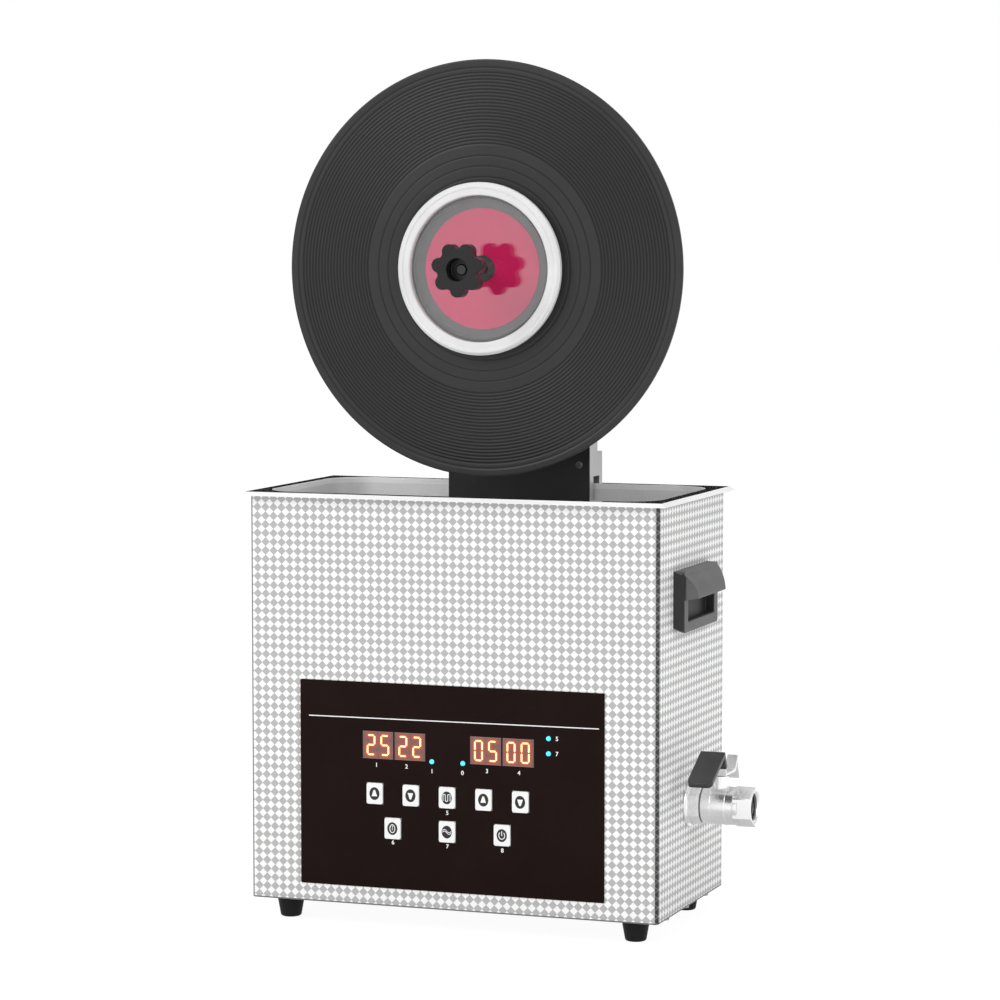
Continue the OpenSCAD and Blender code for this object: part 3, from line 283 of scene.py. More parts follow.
# Tank: a satin inside, a polished flat rim and a pale brushed lip
tankFinish = {
    "inside": tone(226), "insideOther": tone(236), "insideRough": 0.46, "insideMetal": 0.6,
    "insideSwing": 0.04,
    "rim": tone(246), "rimRough": 0.07,
    "lip": tone(247), "lipOther": tone(252), "lipMetal": 0.35,
    "edgeHeight": 0.0038,      # height of the rim and its lip, from the top down
    "edgeFade": 0.0004,        # height over which the inside's finish turns into theirs
    "flatFrom": 0.93,          # a face that looks up at least this much begins to count as the flat rim
    "flatTo": 0.97,
    "grain": 1500.0,
    "patch": 12.0,
    "bumpStrength": 0.25,
    "bumpDepth": 0.00002,
}


def tankMaterial(tankTop):
    look = tankFinish
    made, tree, shader = blankMaterial("tankSteel", look["insideRough"], 1.0, 0.5)
    m = partial(maths, tree)
    where, parts = objectCoordinates(tree)
    grain = noise(tree, where, look["grain"], 2.0)
    patches = noise(tree, where, look["patch"], 3.0)
    edgeLow = tankTop - look["edgeHeight"]
    onEdge = between(tree, parts["Z"], edgeLow - look["edgeFade"], edgeLow, 0.0, 1.0)
    onTop = between(tree, facingParts(tree)["Z"], look["flatFrom"], look["flatTo"], 0.0, 1.0)
    onRim = m("MULTIPLY", onEdge, onTop)
    onLip = m("SUBTRACT", onEdge, onRim)
    offRim = m("SUBTRACT", 1.0, onRim)
    mixed = m("ADD", m("MULTIPLY", grain, 0.5), m("MULTIPLY", patches, 0.5))
    inside = twoTone(tree, mixed, look["inside"], look["insideOther"], 0.4, 0.6)
    lip = twoTone(tree, grain, look["lip"], look["lipOther"], 0.4, 0.6)
    colour = mixColours(tree, onLip, inside, lip)
    feed(tree, shader.inputs["Base Color"], mixColours(tree, onRim, colour, look["rim"]))
    metal = m("ADD", look["insideMetal"], m("MULTIPLY", onRim, 1.0 - look["insideMetal"]))
    drop = m("MULTIPLY", onLip, look["insideMetal"] - look["lipMetal"])
    feed(tree, shader.inputs["Metallic"], m("SUBTRACT", metal, drop))
    rough = between(tree, grain, 0.3, 0.7, look["insideRough"] - look["insideSwing"],
                    look["insideRough"] + look["insideSwing"])
    rough = m("ADD", m("MULTIPLY", rough, offRim), m("MULTIPLY", onRim, look["rimRough"]))
    feed(tree, shader.inputs["Roughness"], rough)
    bump(tree, shader, m("MULTIPLY", grain, offRim), look["bumpStrength"], look["bumpDepth"])
    return made


# A glowing surface with a soft change in its colour
def glowMaterial(name, core, rim, strength, scale):
    made, tree, shader = blankMaterial(name, 0.3)
    where, _ = objectCoordinates(tree)
    colour = twoTone(tree, noise(tree, where, scale, 2.0), core, rim, 0.3, 0.7)
    feed(tree, shader.inputs["Base Color"], colour)
    feed(tree, shader.inputs["Emission Color"], colour)
    shader.inputs["Emission Strength"].default_value = strength
    return made


# Handles: grey moulded plastic, with painted shade on the faces that look forward and back and in the finger
# pocket
handleFinish = {
    # the cheek tone is painted shade on the faces that look forward and back
    "face": tone(90), "faceOther": tone(96), "cheekShade": tone(44), "roughness": 0.5, "roughSwing": 0.06,
    "cheekFrom": 0.75,         # a face that looks forward or back at least this much begins to take the painted shade
    "cheekTo": 0.95,
    # painted shade in the finger pocket
    "pocket": tone(34),
    "pocketFrom": 0.0016,      # depth below the frame's face at which the painted shade in the pocket begins
    "pocketTo": 0.0050,        # and at which it is darkest
    "frameFace": 0.0084,       # the frame's face, out from the cabinet's wall
    "pocketHalf": 0.0324,
    "pocketTop": 0.0305,       # above the handle's lower edge
    "patch": 50.0, "grain": 2200.0, "bumpStrength": 0.35, "bumpDepth": 0.00003,
}


def handleMaterial(handleBox, wallX):
    look = handleFinish
    made, tree, shader = blankMaterial("handlePlastic", look["roughness"], 0.0, 0.4)
    m = partial(maths, tree)
    where, parts = objectCoordinates(tree)
    face = twoTone(tree, noise(tree, where, look["patch"], 3.0), look["face"], look["faceOther"])
    # painted shade on the faces that look forward or back
    cheekShade = between(tree, m("ABSOLUTE", facingParts(tree)["Y"]), look["cheekFrom"], look["cheekTo"], 0.0, 1.0)
    colour = mixColours(tree, cheekShade, face, look["cheekShade"])
    # the finger pocket's painted shade: inside the frame's opening and behind its face, darker the deeper it
    # lies
    middle = (handleBox[0].y + handleBox[1].y) / 2
    faceX = wallX + look["frameFace"]
    within = m("LESS_THAN", m("ABSOLUTE", m("SUBTRACT", parts["Y"], middle)), look["pocketHalf"])
    low = m("LESS_THAN", parts["Z"], handleBox[0].z + look["pocketTop"])
    deep = between(tree, m("SUBTRACT", faceX, m("ABSOLUTE", parts["X"])), look["pocketFrom"],
                   look["pocketTo"], 0.0, 1.0)
    inPocketShade = m("MULTIPLY", deep, m("MULTIPLY", within, low))
    feed(tree, shader.inputs["Base Color"], mixColours(tree, inPocketShade, colour, look["pocket"]))
    fine = noise(tree, where, look["grain"], 2.0)
    unevenGloss(tree, shader, fine, look["roughness"], look["roughSwing"])
    bump(tree, shader, fine, look["bumpStrength"], look["bumpDepth"])
    return made


# Valve: satin nickel, with painted shade inside the outlet's bore and in the groove between wall nut and body
valveFinish = {
    "metal": tone(248), "metalOther": tone(253), "roughness": 0.27, "roughSwing": 0.04,
    # painted shade inside the outlet's bore
    "boreShade": tone(130), "boreEdge": 0.0098, "boreFade": 0.0004,
    "seamShade": tone(128), "seamWidth": 0.0013, "seamInner": 0.0127,      # painted shade in the groove of the joint between wall nut and body
    "patch": 90.0, "grain": 2600.0, "bumpStrength": 0.2, "bumpDepth": 0.000001,
}


def valveMaterial(valveBox, seamX):
    look = valveFinish
    made, tree, shader = blankMaterial("valveMetal", look["roughness"], 1.0, 0.5)
    m = partial(maths, tree)
    where, parts = objectCoordinates(tree)
    offY = m("SUBTRACT", parts["Y"], (valveBox[0].y + valveBox[1].y) / 2)
    offZ = m("SUBTRACT", parts["Z"], (valveBox[0].z + valveBox[1].z) / 2)
    off = radiusOf(tree, offY, offZ)
    # painted shade inside the outlet's bore
    inBoreShade = between(tree, off, look["boreEdge"] - look["boreFade"], look["boreEdge"], 1.0, 0.0)
    metal = twoTone(tree, noise(tree, where, look["patch"], 3.0), look["metal"], look["metalOther"])
    # painted shade in the groove between wall nut and body
    fromSeam = m("ABSOLUTE", m("SUBTRACT", parts["X"], seamX + look["seamWidth"] / 2))
    inSeamShade = m("MULTIPLY", m("LESS_THAN", fromSeam, look["seamWidth"] / 2),
               m("GREATER_THAN", off, look["seamInner"]))
    colour = mixColours(tree, inSeamShade, metal, look["seamShade"])
    feed(tree, shader.inputs["Base Color"], mixColours(tree, inBoreShade, colour, look["boreShade"]))
    fine = noise(tree, where, look["grain"], 2.0)
    unevenGloss(tree, shader, fine, look["roughness"], look["roughSwing"])
    bump(tree, shader, fine, look["bumpStrength"], look["bumpDepth"])
    return made


# Record: black vinyl, with painted shade in its grooves and bands, and very fine rings in its gloss
vinyl = {
    # the hollow tone is painted shade in the grooves and bands
    "colour": tone(47), "other": tone(52), "hollow": tone(14),
    "roughness": 0.38, "roughSwing": 0.05, "specular": 0.25,
    "ringPitch": 0.0006, "patch": 14.0, "bumpStrength": 0.1, "bumpDepth": 0.00001,
}


def vinylMaterial(centre):
    made, tree, shader = blankMaterial("recordVinyl", vinyl["roughness"], 0.0, vinyl["specular"])
    m = partial(maths, tree)
    where, parts = objectCoordinates(tree)
    radius = radiusOf(tree, parts["X"], m("SUBTRACT", parts["Z"], centre.z))
    rings = m("SINE", m("MULTIPLY", radius, 2 * math.pi / vinyl["ringPitch"]))
    ridge = twoTone(tree, noise(tree, where, vinyl["patch"], 3.0), vinyl["colour"], vinyl["other"])
    # the attribute says how deep in a groove or band a point of the disc lies, which sets the painted shade
    # there
    held = addNode(tree, "ShaderNodeAttribute", attribute_name="hollow")
    feed(tree, shader.inputs["Base Color"], mixColours(tree, held.outputs["Fac"], ridge, vinyl["hollow"]))
    rough = between(tree, rings, -1.0, 1.0, vinyl["roughness"] - vinyl["roughSwing"],
                    vinyl["roughness"] + vinyl["roughSwing"])
    feed(tree, shader.inputs["Roughness"], rough)
    bump(tree, shader, rings, vinyl["bumpStrength"], vinyl["bumpDepth"])
    return made


# Clear cover: mostly see-through, with a mirror's share of what stands before it
coverFinish = {
    "colour": tone(250, 250, 252), "other": tone(255), "patch": 30.0,
    "mirrorShare": 0.085,
    "roughness": 0.03,
    "roughMost": 0.002,        # the unevenness of its gloss, from none to this
}


def clearCoverMaterial():
    made, tree, shader = blankMaterial("clearSheet", coverFinish["roughness"], 1.0, 0.5)
    where, _ = objectCoordinates(tree)
    patches = noise(tree, where, coverFinish["patch"], 2.0)
    colour = twoTone(tree, patches, coverFinish["colour"], coverFinish["other"], 0.3, 0.7)
    feed(tree, shader.inputs["Base Color"], colour)
    feed(tree, shader.inputs["Roughness"], between(tree, patches, 0.3, 0.7, 0.0, coverFinish["roughMost"]))
    shader.inputs["Alpha"].default_value = coverFinish["mirrorShare"]
    return made


print("stage: materials")
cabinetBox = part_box("housing")
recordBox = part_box("record")
hub = Vector((0.0, (recordBox[0].y + recordBox[1].y) / 2, (recordBox[0].z + recordBox[1].z) / 2))

# Each row: two close colours, roughness, and what departs from plainFinish's own values
plainRows = {
    "footRubber": (tone(12), tone(18), 0.5, {"specular": 0.3, "patch": 60}),
    "platedScrew": (tone(190), tone(205), 0.3, {"metallic": 1.0, "patch": 200}),
    "panelFilm": (tone(28, 17, 15), tone(31, 19, 17), 0.3,
                  {"specular": 0.05, "patch": 30, "grain": 2600, "depth": 0.00001}),
    "circuitBoard": (tone(20, 95, 55), tone(30, 110, 60), 0.4, {"patch": 90}),
    "brassPost": (tone(205, 170, 95), tone(215, 180, 105), 0.3, {"metallic": 1.0, "patch": 150}),
    "switchPlastic": (tone(30), tone(38), 0.45, {}),
    "keyWhite": (tone(246), tone(252), 0.45, {"patch": 120, "grain": 2400, "depth": 0.00001}),
    "sealRing": (tone(28), tone(34), 0.5, {}),
    "leverSteel": (tone(246), tone(252), 0.3,
                   {"metallic": 1.0, "patch": 120, "grain": 2600, "depth": 0.000001}),
    "sleeveBlack": (tone(52), tone(58), 0.34, {"specular": 0.4, "patch": 90, "grain": 1400}),
    "ceramic": (tone(225, 218, 190), tone(232, 226, 200), 0.6, {}),
    "heaterMat": (tone(205, 105, 45), tone(215, 115, 50), 0.6, {"patch": 70}),
    "powerParts": (tone(150, 125, 70), tone(165, 140, 85), 0.5, {}),
    "inletBlack": (tone(32), tone(38), 0.4, {"grain": 1800}),
    "rockerRed": (tone(190, 30, 22), tone(200, 36, 26), 0.3, {}),
    "fuseGlass": (tone(205), tone(220), 0.2, {"patch": 200}),
    "rackBlack": (tone(34), tone(39), 0.4,
                  {"specular": 0.4, "patch": 35, "grain": 1800, "depth": 0.00002}),
    "screwBlack": (tone(96), tone(106), 0.45, {"metallic": 0.3, "patch": 200}),
    "padRubber": (tone(24), tone(30), 0.6, {}),
    "handScrew": (tone(36), tone(42), 0.45, {"grain": 1800}),
    "motorCase": (tone(36), tone(42), 0.5, {"grain": 1600}),
    "keeperGrey": (tone(88), tone(98), 0.4, {"metallic": 0.8}),
    "shoeBrass": (tone(200, 165, 90), tone(212, 178, 100), 0.3, {"metallic": 1.0}),
    "ringWhite": (tone(228), tone(234), 0.4, {"specular": 0.3, "grain": 1500, "depth": 0.000004}),
    "discGrey": (tone(76), tone(82), 0.5, {"specular": 0.3, "patch": 30}),
    "labelCrimson": (tone(203, 30, 90), tone(207, 33, 94), 0.6,
                     {"specular": 0.1, "patch": 25, "grain": 1800, "depth": 0.000001}),
    "sleeveGrey": (tone(62), tone(70), 0.4, {"patch": 90}),
    "knobBlack": (tone(21), tone(25), 0.3,
                  {"specular": 0.35, "patch": 60, "grain": 1800, "depth": 0.00001}),
    "printWhite": (tone(250), tone(255), 0.5, {"patch": 200, "grain": 3000, "depth": 0.000005}),
    "printBlack": (tone(28, 22, 21), tone(33, 26, 25), 0.45,
                   {"patch": 200, "grain": 3000, "depth": 0.000005}),
}

# Each row: two close colours, roughness, and the stretch of the streaks, where a small number draws
# them long
drawnRows = {
    "baseSheet": (tone(165), tone(185), 0.4, (0.1, 1, 1)),
    "pipeSteel": (tone(200), tone(216), 0.28, (1, 1, 0.1)),
    "hornAlloy": (tone(200), tone(215), 0.32, (1, 1, 8)),
    "rackAlloy": (tone(178), tone(190), 0.42, (1, 1, 0.08)),
    "carriageAlloy": (tone(110), tone(122), 0.4, (1, 0.1, 1)),
    "motorSteel": (tone(185), tone(200), 0.3, (1, 0.1, 1)),
    # painted shade: the spindle's steel is darkened where it sits deep in the knob's bore
    "spindleSteel": (tone(66), tone(78), 0.3, (1, 0.1, 1)),
}

finishes = {
    "patternedSheet": cabinetSheetMaterial(cabinetBox),
    "tankSteel": tankMaterial(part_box("tank")[1].z),
    "handlePlastic": handleMaterial(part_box("handles"), cabinetBox[1].x),
    "valveMetal": valveMaterial(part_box("valve_end"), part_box("valve_body")[0].x),
    "recordVinyl": vinylMaterial(hub),
    "clearCover": clearCoverMaterial(),
    "indicatorLens": glowMaterial("indicatorLens", tone(95, 228, 248), tone(70, 210, 235), 0.75, 500.0),
}
for name, (first, second, roughness, extra) in plainRows.items():
    finishes[name] = plainFinish(name, first, second, roughness, **extra)
for name, (first, second, roughness, stretch) in drawnRows.items():
    finishes[name] = drawnSteelMaterial(name, first, second, roughness, stretch)

nodeFinish = {
    "housing": "patternedSheet", "tank": "tankSteel", "base_plate": "baseSheet",
    "feet": "footRubber", "cabinet_screws": "platedScrew", "handles": "handlePlastic",
    "control_panel": "panelFilm", "control_board": "circuitBoard", "board_standoffs": "brassPost",
    "displays": "switchPlastic", "indicator_lights": "indicatorLens",
    "key_switches": "switchPlastic", "drain_elbow": "pipeSteel", "wall_nut": "valveMetal",
    "valve_body": "valveMetal", "valve_end": "valveMetal", "valve_seals": "sealRing",
    "valve_ball": "valveMetal", "valve_stem": "pipeSteel", "lever": "leverSteel",
    "lever_sleeve": "sleeveBlack", "lever_nut": "platedScrew", "transducer_horns": "hornAlloy",
    "transducer_rings": "ceramic", "transducer_backs": "baseSheet", "heater": "heaterMat",
    "power_board": "powerParts", "inlet_module": "inletBlack", "rocker_switch": "rockerRed",
    "fuse_drawer": "inletBlack", "fuse": "fuseGlass", "rack_board": "rackAlloy",
    "rack_plate": "rackBlack", "rack_column": "rackAlloy", "rim_pads": "padRubber",
    "rack_screws": "screwBlack", "clamp_pad": "padRubber", "clamp_screw": "handScrew",
    "carriage": "carriageAlloy", "motor_box": "motorCase", "keeper_plate": "keeperGrey",
    "motor": "motorSteel", "lock_shoe": "shoeBrass", "lock_knob": "handScrew",
    "spindle": "spindleSteel", "record": "recordVinyl", "seal_rings": "ringWhite",
    "clamp_discs": "discGrey", "label_disc": "labelCrimson", "front_cover": "clearCover",
    "clamp_sleeve": "sleeveGrey", "knob": "knobBlack",
}
for name in nodes:
    finish = finishes[nodeFinish.get(name, "keyWhite")]
    for place in nodes[name].material_slots:
        place.material = finish
print("stage: solids dressed")


# Helpers for new pieces
def linked(name, data):
    made = bpy.data.objects.new(name, data)
    bpy.context.scene.collection.objects.link(made)
    return made


def newPiece(name, mesh, body, slotName, *materials):
    piece = linked(name, mesh)
    for item in materials:
        piece.data.materials.append(item)
    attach(piece, body)
    return piece


def meshFrom(name, builder):
    shape = bmesh.new()
    builder(shape)
    mesh = bpy.data.meshes.new(name)
    shape.to_mesh(mesh)
    shape.free()
    return mesh


def workedMesh(holder):
    # The holder's shape with its modifiers worked in, as a plain mesh
    bpy.context.view_layer.update()
    shown = holder.evaluated_get(bpy.context.evaluated_depsgraph_get())
    return bpy.data.meshes.new_from_object(shown)


def smoothBelow(mesh, degrees):
    for face in mesh.polygons:
        face.use_smooth = True
    mesh.set_sharp_from_angle(angle=math.radians(degrees))


def faceUser(face, materialIndex):
    face.normal_update()
    if face.normal.y > 0:
        face.normal_flip()
    face.material_index = materialIndex


def flatFace(shape, corners, y, materialIndex=0):
    # A flat polygon facing the user, from its corners (x, z)
    faceUser(shape.faces.new([shape.verts.new((x, y, z)) for x, z in corners]), materialIndex)


def ovalCorners(cx, cz, rx, rz, count=40):
    turns = [2 * math.pi * i / count for i in range(count)]
    return [(cx + rx * math.cos(turn), cz + rz * math.sin(turn)) for turn in turns]


def strokeFaces(shape, points, width, y, materialIndex=0, closed=False):
    # A flat line of even width through the points, one face for each stretch
    half = width / 2
    count = len(points)
    edges = []
    for i, (x, z) in enumerate(points):
        before = points[(i - 1) % count] if (closed or i > 0) else points[i]
        after = points[(i + 1) % count] if (closed or i < count - 1) else points[i]
        dx, dz = after[0] - before[0], after[1] - before[1]
        length = math.hypot(dx, dz)
        nx, nz = -dz / length, dx / length
        edges.append([shape.verts.new((x + way * nx * half, y, z + way * nz * half)) for way in (1, -1)])
    for i in range(count if closed else count - 1):
        a, b = edges[i], edges[(i + 1) % count]
        faceUser(shape.faces.new((a[0], a[1], b[1], b[0])), materialIndex)


# Copies of the solids that show, with whole flat faces, smooth rounds and softened edges
softEdges = {
    "housing": 0.00015, "tank": 0.0003, "feet": 0.0005, "handles": 0.0006, "wall_nut": 0.0005,
    "valve_body": 0.00012, "valve_end": 0.0005, "valve_stem": 0.0002, "lever": 0.0003,
    "lever_sleeve": 0.0005, "lever_nut": 0.0002, "knob": 0.0007, "clamp_sleeve": 0.0002,
    "spindle": 0.0003, "seal_rings": 0.0003, "clamp_discs": 0.0003, "label_disc": 0.0001,
    "rack_board": 0.0004, "rack_plate": 0.0002, "rack_column": 0.0005, "rim_pads": 0.0005,
    "clamp_pad": 0.0004, "clamp_screw": 0.0005, "carriage": 0.0004, "motor_box": 0.0010,
    "keeper_plate": 0.0003, "lock_knob": 0.0006, "inlet_module": 0.0004, "fuse_drawer": 0.0003,
    "rocker_switch": 0.0003, "base_plate": 0.0001, "cabinet_screws": 0.0002,
    "indicator_lights": 0.0003, "control_panel": 0.0001, "key_heat_up": 0.0003,
    "key_heat_down": 0.0003, "key_degas": 0.0003, "key_time_up": 0.0003, "key_time_down": 0.0003,
    "key_heat": 0.0003, "key_gentle": 0.0003, "key_power": 0.0003,
}

softening = {
    "merge": 0.000002,
    "mergeHandles": 0.00032,   # joins very short edges of the handles, which would cross when rounded
    "flatWithin": 0.6,         # degrees between faces that count as one flat face
    "smoothBelow": 30,         # degrees
    "roundAbove": 34,          # degrees
    "segments": 2,
    "normalWeight": 50,
}


def softened(name, width):
    shape = bmesh.new()
    shape.from_mesh(nodes[name].data)
    merge = softening["mergeHandles"] if name == "handles" else softening["merge"]
    bmesh.ops.remove_doubles(shape, verts=shape.verts, dist=merge)
    flat = math.radians(softening["flatWithin"])
    bmesh.ops.dissolve_limit(shape, angle_limit=flat, verts=shape.verts, edges=shape.edges)
    mesh = bpy.data.meshes.new(name + "Maker")
    shape.to_mesh(mesh)
    shape.free()
    smoothBelow(mesh, softening["smoothBelow"])
    holder = linked(name + "Maker", mesh)
    rounding = holder.modifiers.new("round", "BEVEL")
    rounding.width = width
    rounding.segments = softening["segments"]
    rounding.limit_method = "ANGLE"
    rounding.angle_limit = math.radians(softening["roundAbove"])
    rounding.use_clamp_overlap = False
    evening = holder.modifiers.new("even", "WEIGHTED_NORMAL")
    evening.weight = softening["normalWeight"]
    evening.keep_sharp = True
    mesh = workedMesh(holder)
    mesh.name = name + "Soft"
    bpy.data.objects.remove(holder)
    mesh.materials.clear()
    finish = finishes[nodeFinish.get(name, "keyWhite")]
    piece = newPiece(name + "_soft", mesh, bodyOfNode[name], slotOfNode[name], finish)
    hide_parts(name)


for name, width in softEdges.items():
    softened(name, width)
print("stage: edges softened on", len(softEdges), "solids")


# Record, made by a rule: rows of rings whose height follows the grooves
recordShape = {
    "holeRadius": 0.00362,
    "innerRadius": 0.052,       # first ring of the playing side
    "outerRadius": 0.1500,
    "playHalf": 0.0010,         # half the thickness of the playing area
    "labelHalf": 0.0016,        # half the thickness under the label
    "labelStep": 0.0015,        # width of the slope between the two
    "beadInner": 0.1440,        # where the rim's bead begins
    "beadStep": 0.0012,
    "beadHeight": 0.00035,
    "grooveInner": 0.0885,
    "grooveOuter": 0.1410,
    "groovePitch": 0.0024,
    "grooveDepth": 0.0004,
    "edgeRound": 0.0014,
    "edgeFlat": 0.3,            # share of the thickness left at the outermost edge
    "bandRadii": (0.0657, 0.0735, 0.0810, 0.1440),
    "bandWidth": 0.0007,
    "bandDepth": 0.0003,
    "rows": 166,
    "around": 240,
    "merge": 0.000004,
}


def geometryTree(name, numbers, counts, objects=()):
    # A new tree with named inputs: lengths, whole numbers, objects and the finish
    tree = bpy.data.node_groups.new(name, "GeometryNodeTree")
    for kind, values in (("Float", numbers), ("Int", counts)):
        for label, value in values.items():
            socket = tree.interface.new_socket(name=label, in_out="INPUT", socket_type="NodeSocket" + kind)
            socket.default_value = value
    for label in objects:
        tree.interface.new_socket(name=label, in_out="INPUT", socket_type="NodeSocketObject")
    tree.interface.new_socket(name="Finish", in_out="INPUT", socket_type="NodeSocketMaterial")
    tree.interface.new_socket(name="Geometry", in_out="OUTPUT", socket_type="NodeSocketGeometry")
    return tree, addNode(tree, "NodeGroupInput").outputs, addNode(tree, "NodeGroupOutput")


def combined(tree, x, y, z):
    made = addNode(tree, "ShaderNodeCombineXYZ")
    for place, value in enumerate((x, y, z)):
        feed(tree, made.inputs[place], value)
    return made.outputs[0]


def ownPlace(tree):
    # The three coordinates of the point that is worked on
    apart = addNode(tree, "ShaderNodeSeparateXYZ")
    tree.links.new(addNode(tree, "GeometryNodeInputPosition").outputs[0], apart.inputs[0])
    return apart.outputs


def moved(tree, geometry, **settings):
    made = addNode(tree, "GeometryNodeTransform")
    tree.links.new(geometry, made.inputs["Geometry"])
    for label, value in settings.items():
        feed(tree, made.inputs[label], value)
    return made.outputs[0]


def setPlaces(tree, geometry, position):
    made = addNode(tree, "GeometryNodeSetPosition")
    tree.links.new(geometry, made.inputs["Geometry"])
    tree.links.new(position, made.inputs["Position"])
    return made.outputs[0]


def endTree(tree, results, inputs, output):
    together = addNode(tree, "GeometryNodeJoinGeometry")
    for item in results:
        tree.links.new(item, together.inputs[0])
    realized = addNode(tree, "GeometryNodeRealizeInstances")
    tree.links.new(together.outputs[0], realized.inputs[0])
    painted = addNode(tree, "GeometryNodeSetMaterial")
    tree.links.new(realized.outputs[0], painted.inputs["Geometry"])
    tree.links.new(inputs["Finish"], painted.inputs["Material"])
    tree.links.new(painted.outputs[0], output.inputs[0])


def runTree(name, tree, material, **objects):
    # Runs a geometry tree on an empty holder and gives back its result as a plain mesh
    holder = linked(name + "Maker", bpy.data.meshes.new(name + "Maker"))
    modifier = holder.modifiers.new("make", "NODES")
    modifier.node_group = tree
    settings = {"Finish": material, **objects}
    for item in tree.interface.items_tree:
        if item.item_type == "SOCKET" and item.in_out == "INPUT" and item.name in settings:
            modifier[item.identifier] = settings[item.name]
    mesh = workedMesh(holder)
    mesh.name = name
    holder.modifiers.remove(modifier)
    bpy.data.objects.remove(holder)
    return mesh


def recordTree():
    lengths = ("holeRadius", "innerRadius", "outerRadius", "playHalf", "labelHalf", "labelStep", "beadInner",
               "beadStep", "beadHeight", "grooveInner", "grooveOuter", "groovePitch", "grooveDepth",
               "edgeRound", "edgeFlat", "bandWidth", "bandDepth")
    numbers = {label: recordShape[label] for label in lengths}
    numbers.update({"centreY": hub.y, "centreZ": hub.z})
    counts = {"rows": recordShape["rows"] * 2, "around": recordShape["around"] + 1}
    tree, given, output = geometryTree("recordRings", numbers, counts)
    m = partial(maths, tree)
    grid = addNode(tree, "GeometryNodeMeshGrid")
    for label, value in (("Size X", 1.0), ("Size Y", 1.0), ("Vertices X", given["rows"]),
                         ("Vertices Y", given["around"])):
        feed(tree, grid.inputs[label], value)
    place = ownPlace(tree)

    def ramp(value, low, high):
        share = m("DIVIDE", m("SUBTRACT", value, low), m("SUBTRACT", high, low))
        return m("MINIMUM", m("MAXIMUM", share, 0.0), 1.0)

    def less(whole, share):
        return m("SUBTRACT", whole, share)

    # 1 at the front's hole, 0 at the outer edge, -1 at the back's hole
    through = less(1.0, m("MULTIPLY", m("ADD", place["X"], 0.5), 2.0))
    side = m("SIGN", through)
    outward = less(1.0, m("ABSOLUTE", through))
    reach = less(given["outerRadius"], given["innerRadius"])
    ring = m("ADD", given["innerRadius"], m("MULTIPLY", outward, reach))
    atHole = m("LESS_THAN", outward, 0.0001)
    radius = m("ADD", m("MULTIPLY", atHole, given["holeRadius"]), m("MULTIPLY", less(1.0, atHole), ring))
    labelEnd = m("ADD", given["innerRadius"], given["labelStep"])
    labelShare = less(1.0, ramp(radius, given["innerRadius"], labelEnd))
    labelRise = m("MULTIPLY", labelShare, less(given["labelHalf"], given["playHalf"]))
    half = m("ADD", given["playHalf"], labelRise)
    grooves = m("DIVIDE", less(radius, given["grooveInner"]), given["groovePitch"])
    wave = m("MULTIPLY", less(1.0, m("COSINE", m("MULTIPLY", grooves, 2 * math.pi))), 0.5)
    inGrooves = m("MULTIPLY", m("GREATER_THAN", radius, given["grooveInner"]),
                  m("LESS_THAN", radius, given["grooveOuter"]))
    hollow = m("MULTIPLY", wave, inGrooves)
    half = less(half, m("MULTIPLY", hollow, given["grooveDepth"]))
    bandShare = 0.0
    for band in recordShape["bandRadii"]:
        near = less(1.0, ramp(m("ABSOLUTE", less(radius, band)), 0.0, given["bandWidth"]))
        bandShare = m("MAXIMUM", near, bandShare)
    half = less(half, m("MULTIPLY", bandShare, given["bandDepth"]))
    bead = ramp(radius, given["beadInner"], m("ADD", given["beadInner"], given["beadStep"]))
    half = m("ADD", half, m("MULTIPLY", bead, given["beadHeight"]))
    rim = ramp(radius, less(given["outerRadius"], given["edgeRound"]), given["outerRadius"])
    rounded = m("SQRT", m("MAXIMUM", less(1.0, m("MULTIPLY", rim, rim)), 0.0))
    half = m("MULTIPLY", half, m("ADD", given["edgeFlat"],
                                 m("MULTIPLY", rounded, less(1.0, given["edgeFlat"]))))
    angle = m("MULTIPLY", m("ADD", place["Y"], 0.5), 2 * math.pi)
    position = combined(tree, m("MULTIPLY", radius, m("COSINE", angle)),
                        less(given["centreY"], m("MULTIPLY", side, half)),
                        m("ADD", given["centreZ"], m("MULTIPLY", radius, m("SINE", angle))))
    # the depth of the grooves and bands is kept for the painted shade in them
    kept = addNode(tree, "GeometryNodeStoreNamedAttribute", data_type="FLOAT", domain="POINT")
    kept.inputs["Name"].default_value = "hollow"
    tree.links.new(grid.outputs["Mesh"], kept.inputs["Geometry"])
    tree.links.new(m("MAXIMUM", hollow, bandShare), kept.inputs["Value"])
    merged = addNode(tree, "GeometryNodeMergeByDistance")
    tree.links.new(setPlaces(tree, kept.outputs[0], position), merged.inputs["Geometry"])
    merged.inputs["Distance"].default_value = recordShape["merge"]
    endTree(tree, [merged.outputs[0]], given, output)
    return tree


def outwardFaces(mesh, closeWithin=None):
    # Turns the faces outwards, after closing the wall of a centre hole where closeWithin is given
    shape = bmesh.new()
    shape.from_mesh(mesh)
    if closeWithin is not None:
        bmesh.ops.remove_doubles(shape, verts=shape.verts, dist=closeWithin)
        bmesh.ops.bridge_loops(shape, edges=[edge for edge in shape.edges if edge.is_boundary])
    bmesh.ops.recalc_face_normals(shape, faces=shape.faces)
    shape.to_mesh(mesh)
    shape.free()


recordMesh = runTree("recordDisc", recordTree(), finishes["recordVinyl"])
outwardFaces(recordMesh, recordShape["merge"])
smoothBelow(recordMesh, 50)
recordPiece = newPiece("recordDisc", recordMesh, "spindle", "record_vinyl")
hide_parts("record")
print("stage: record,", len(recordMesh.polygons), "faces")


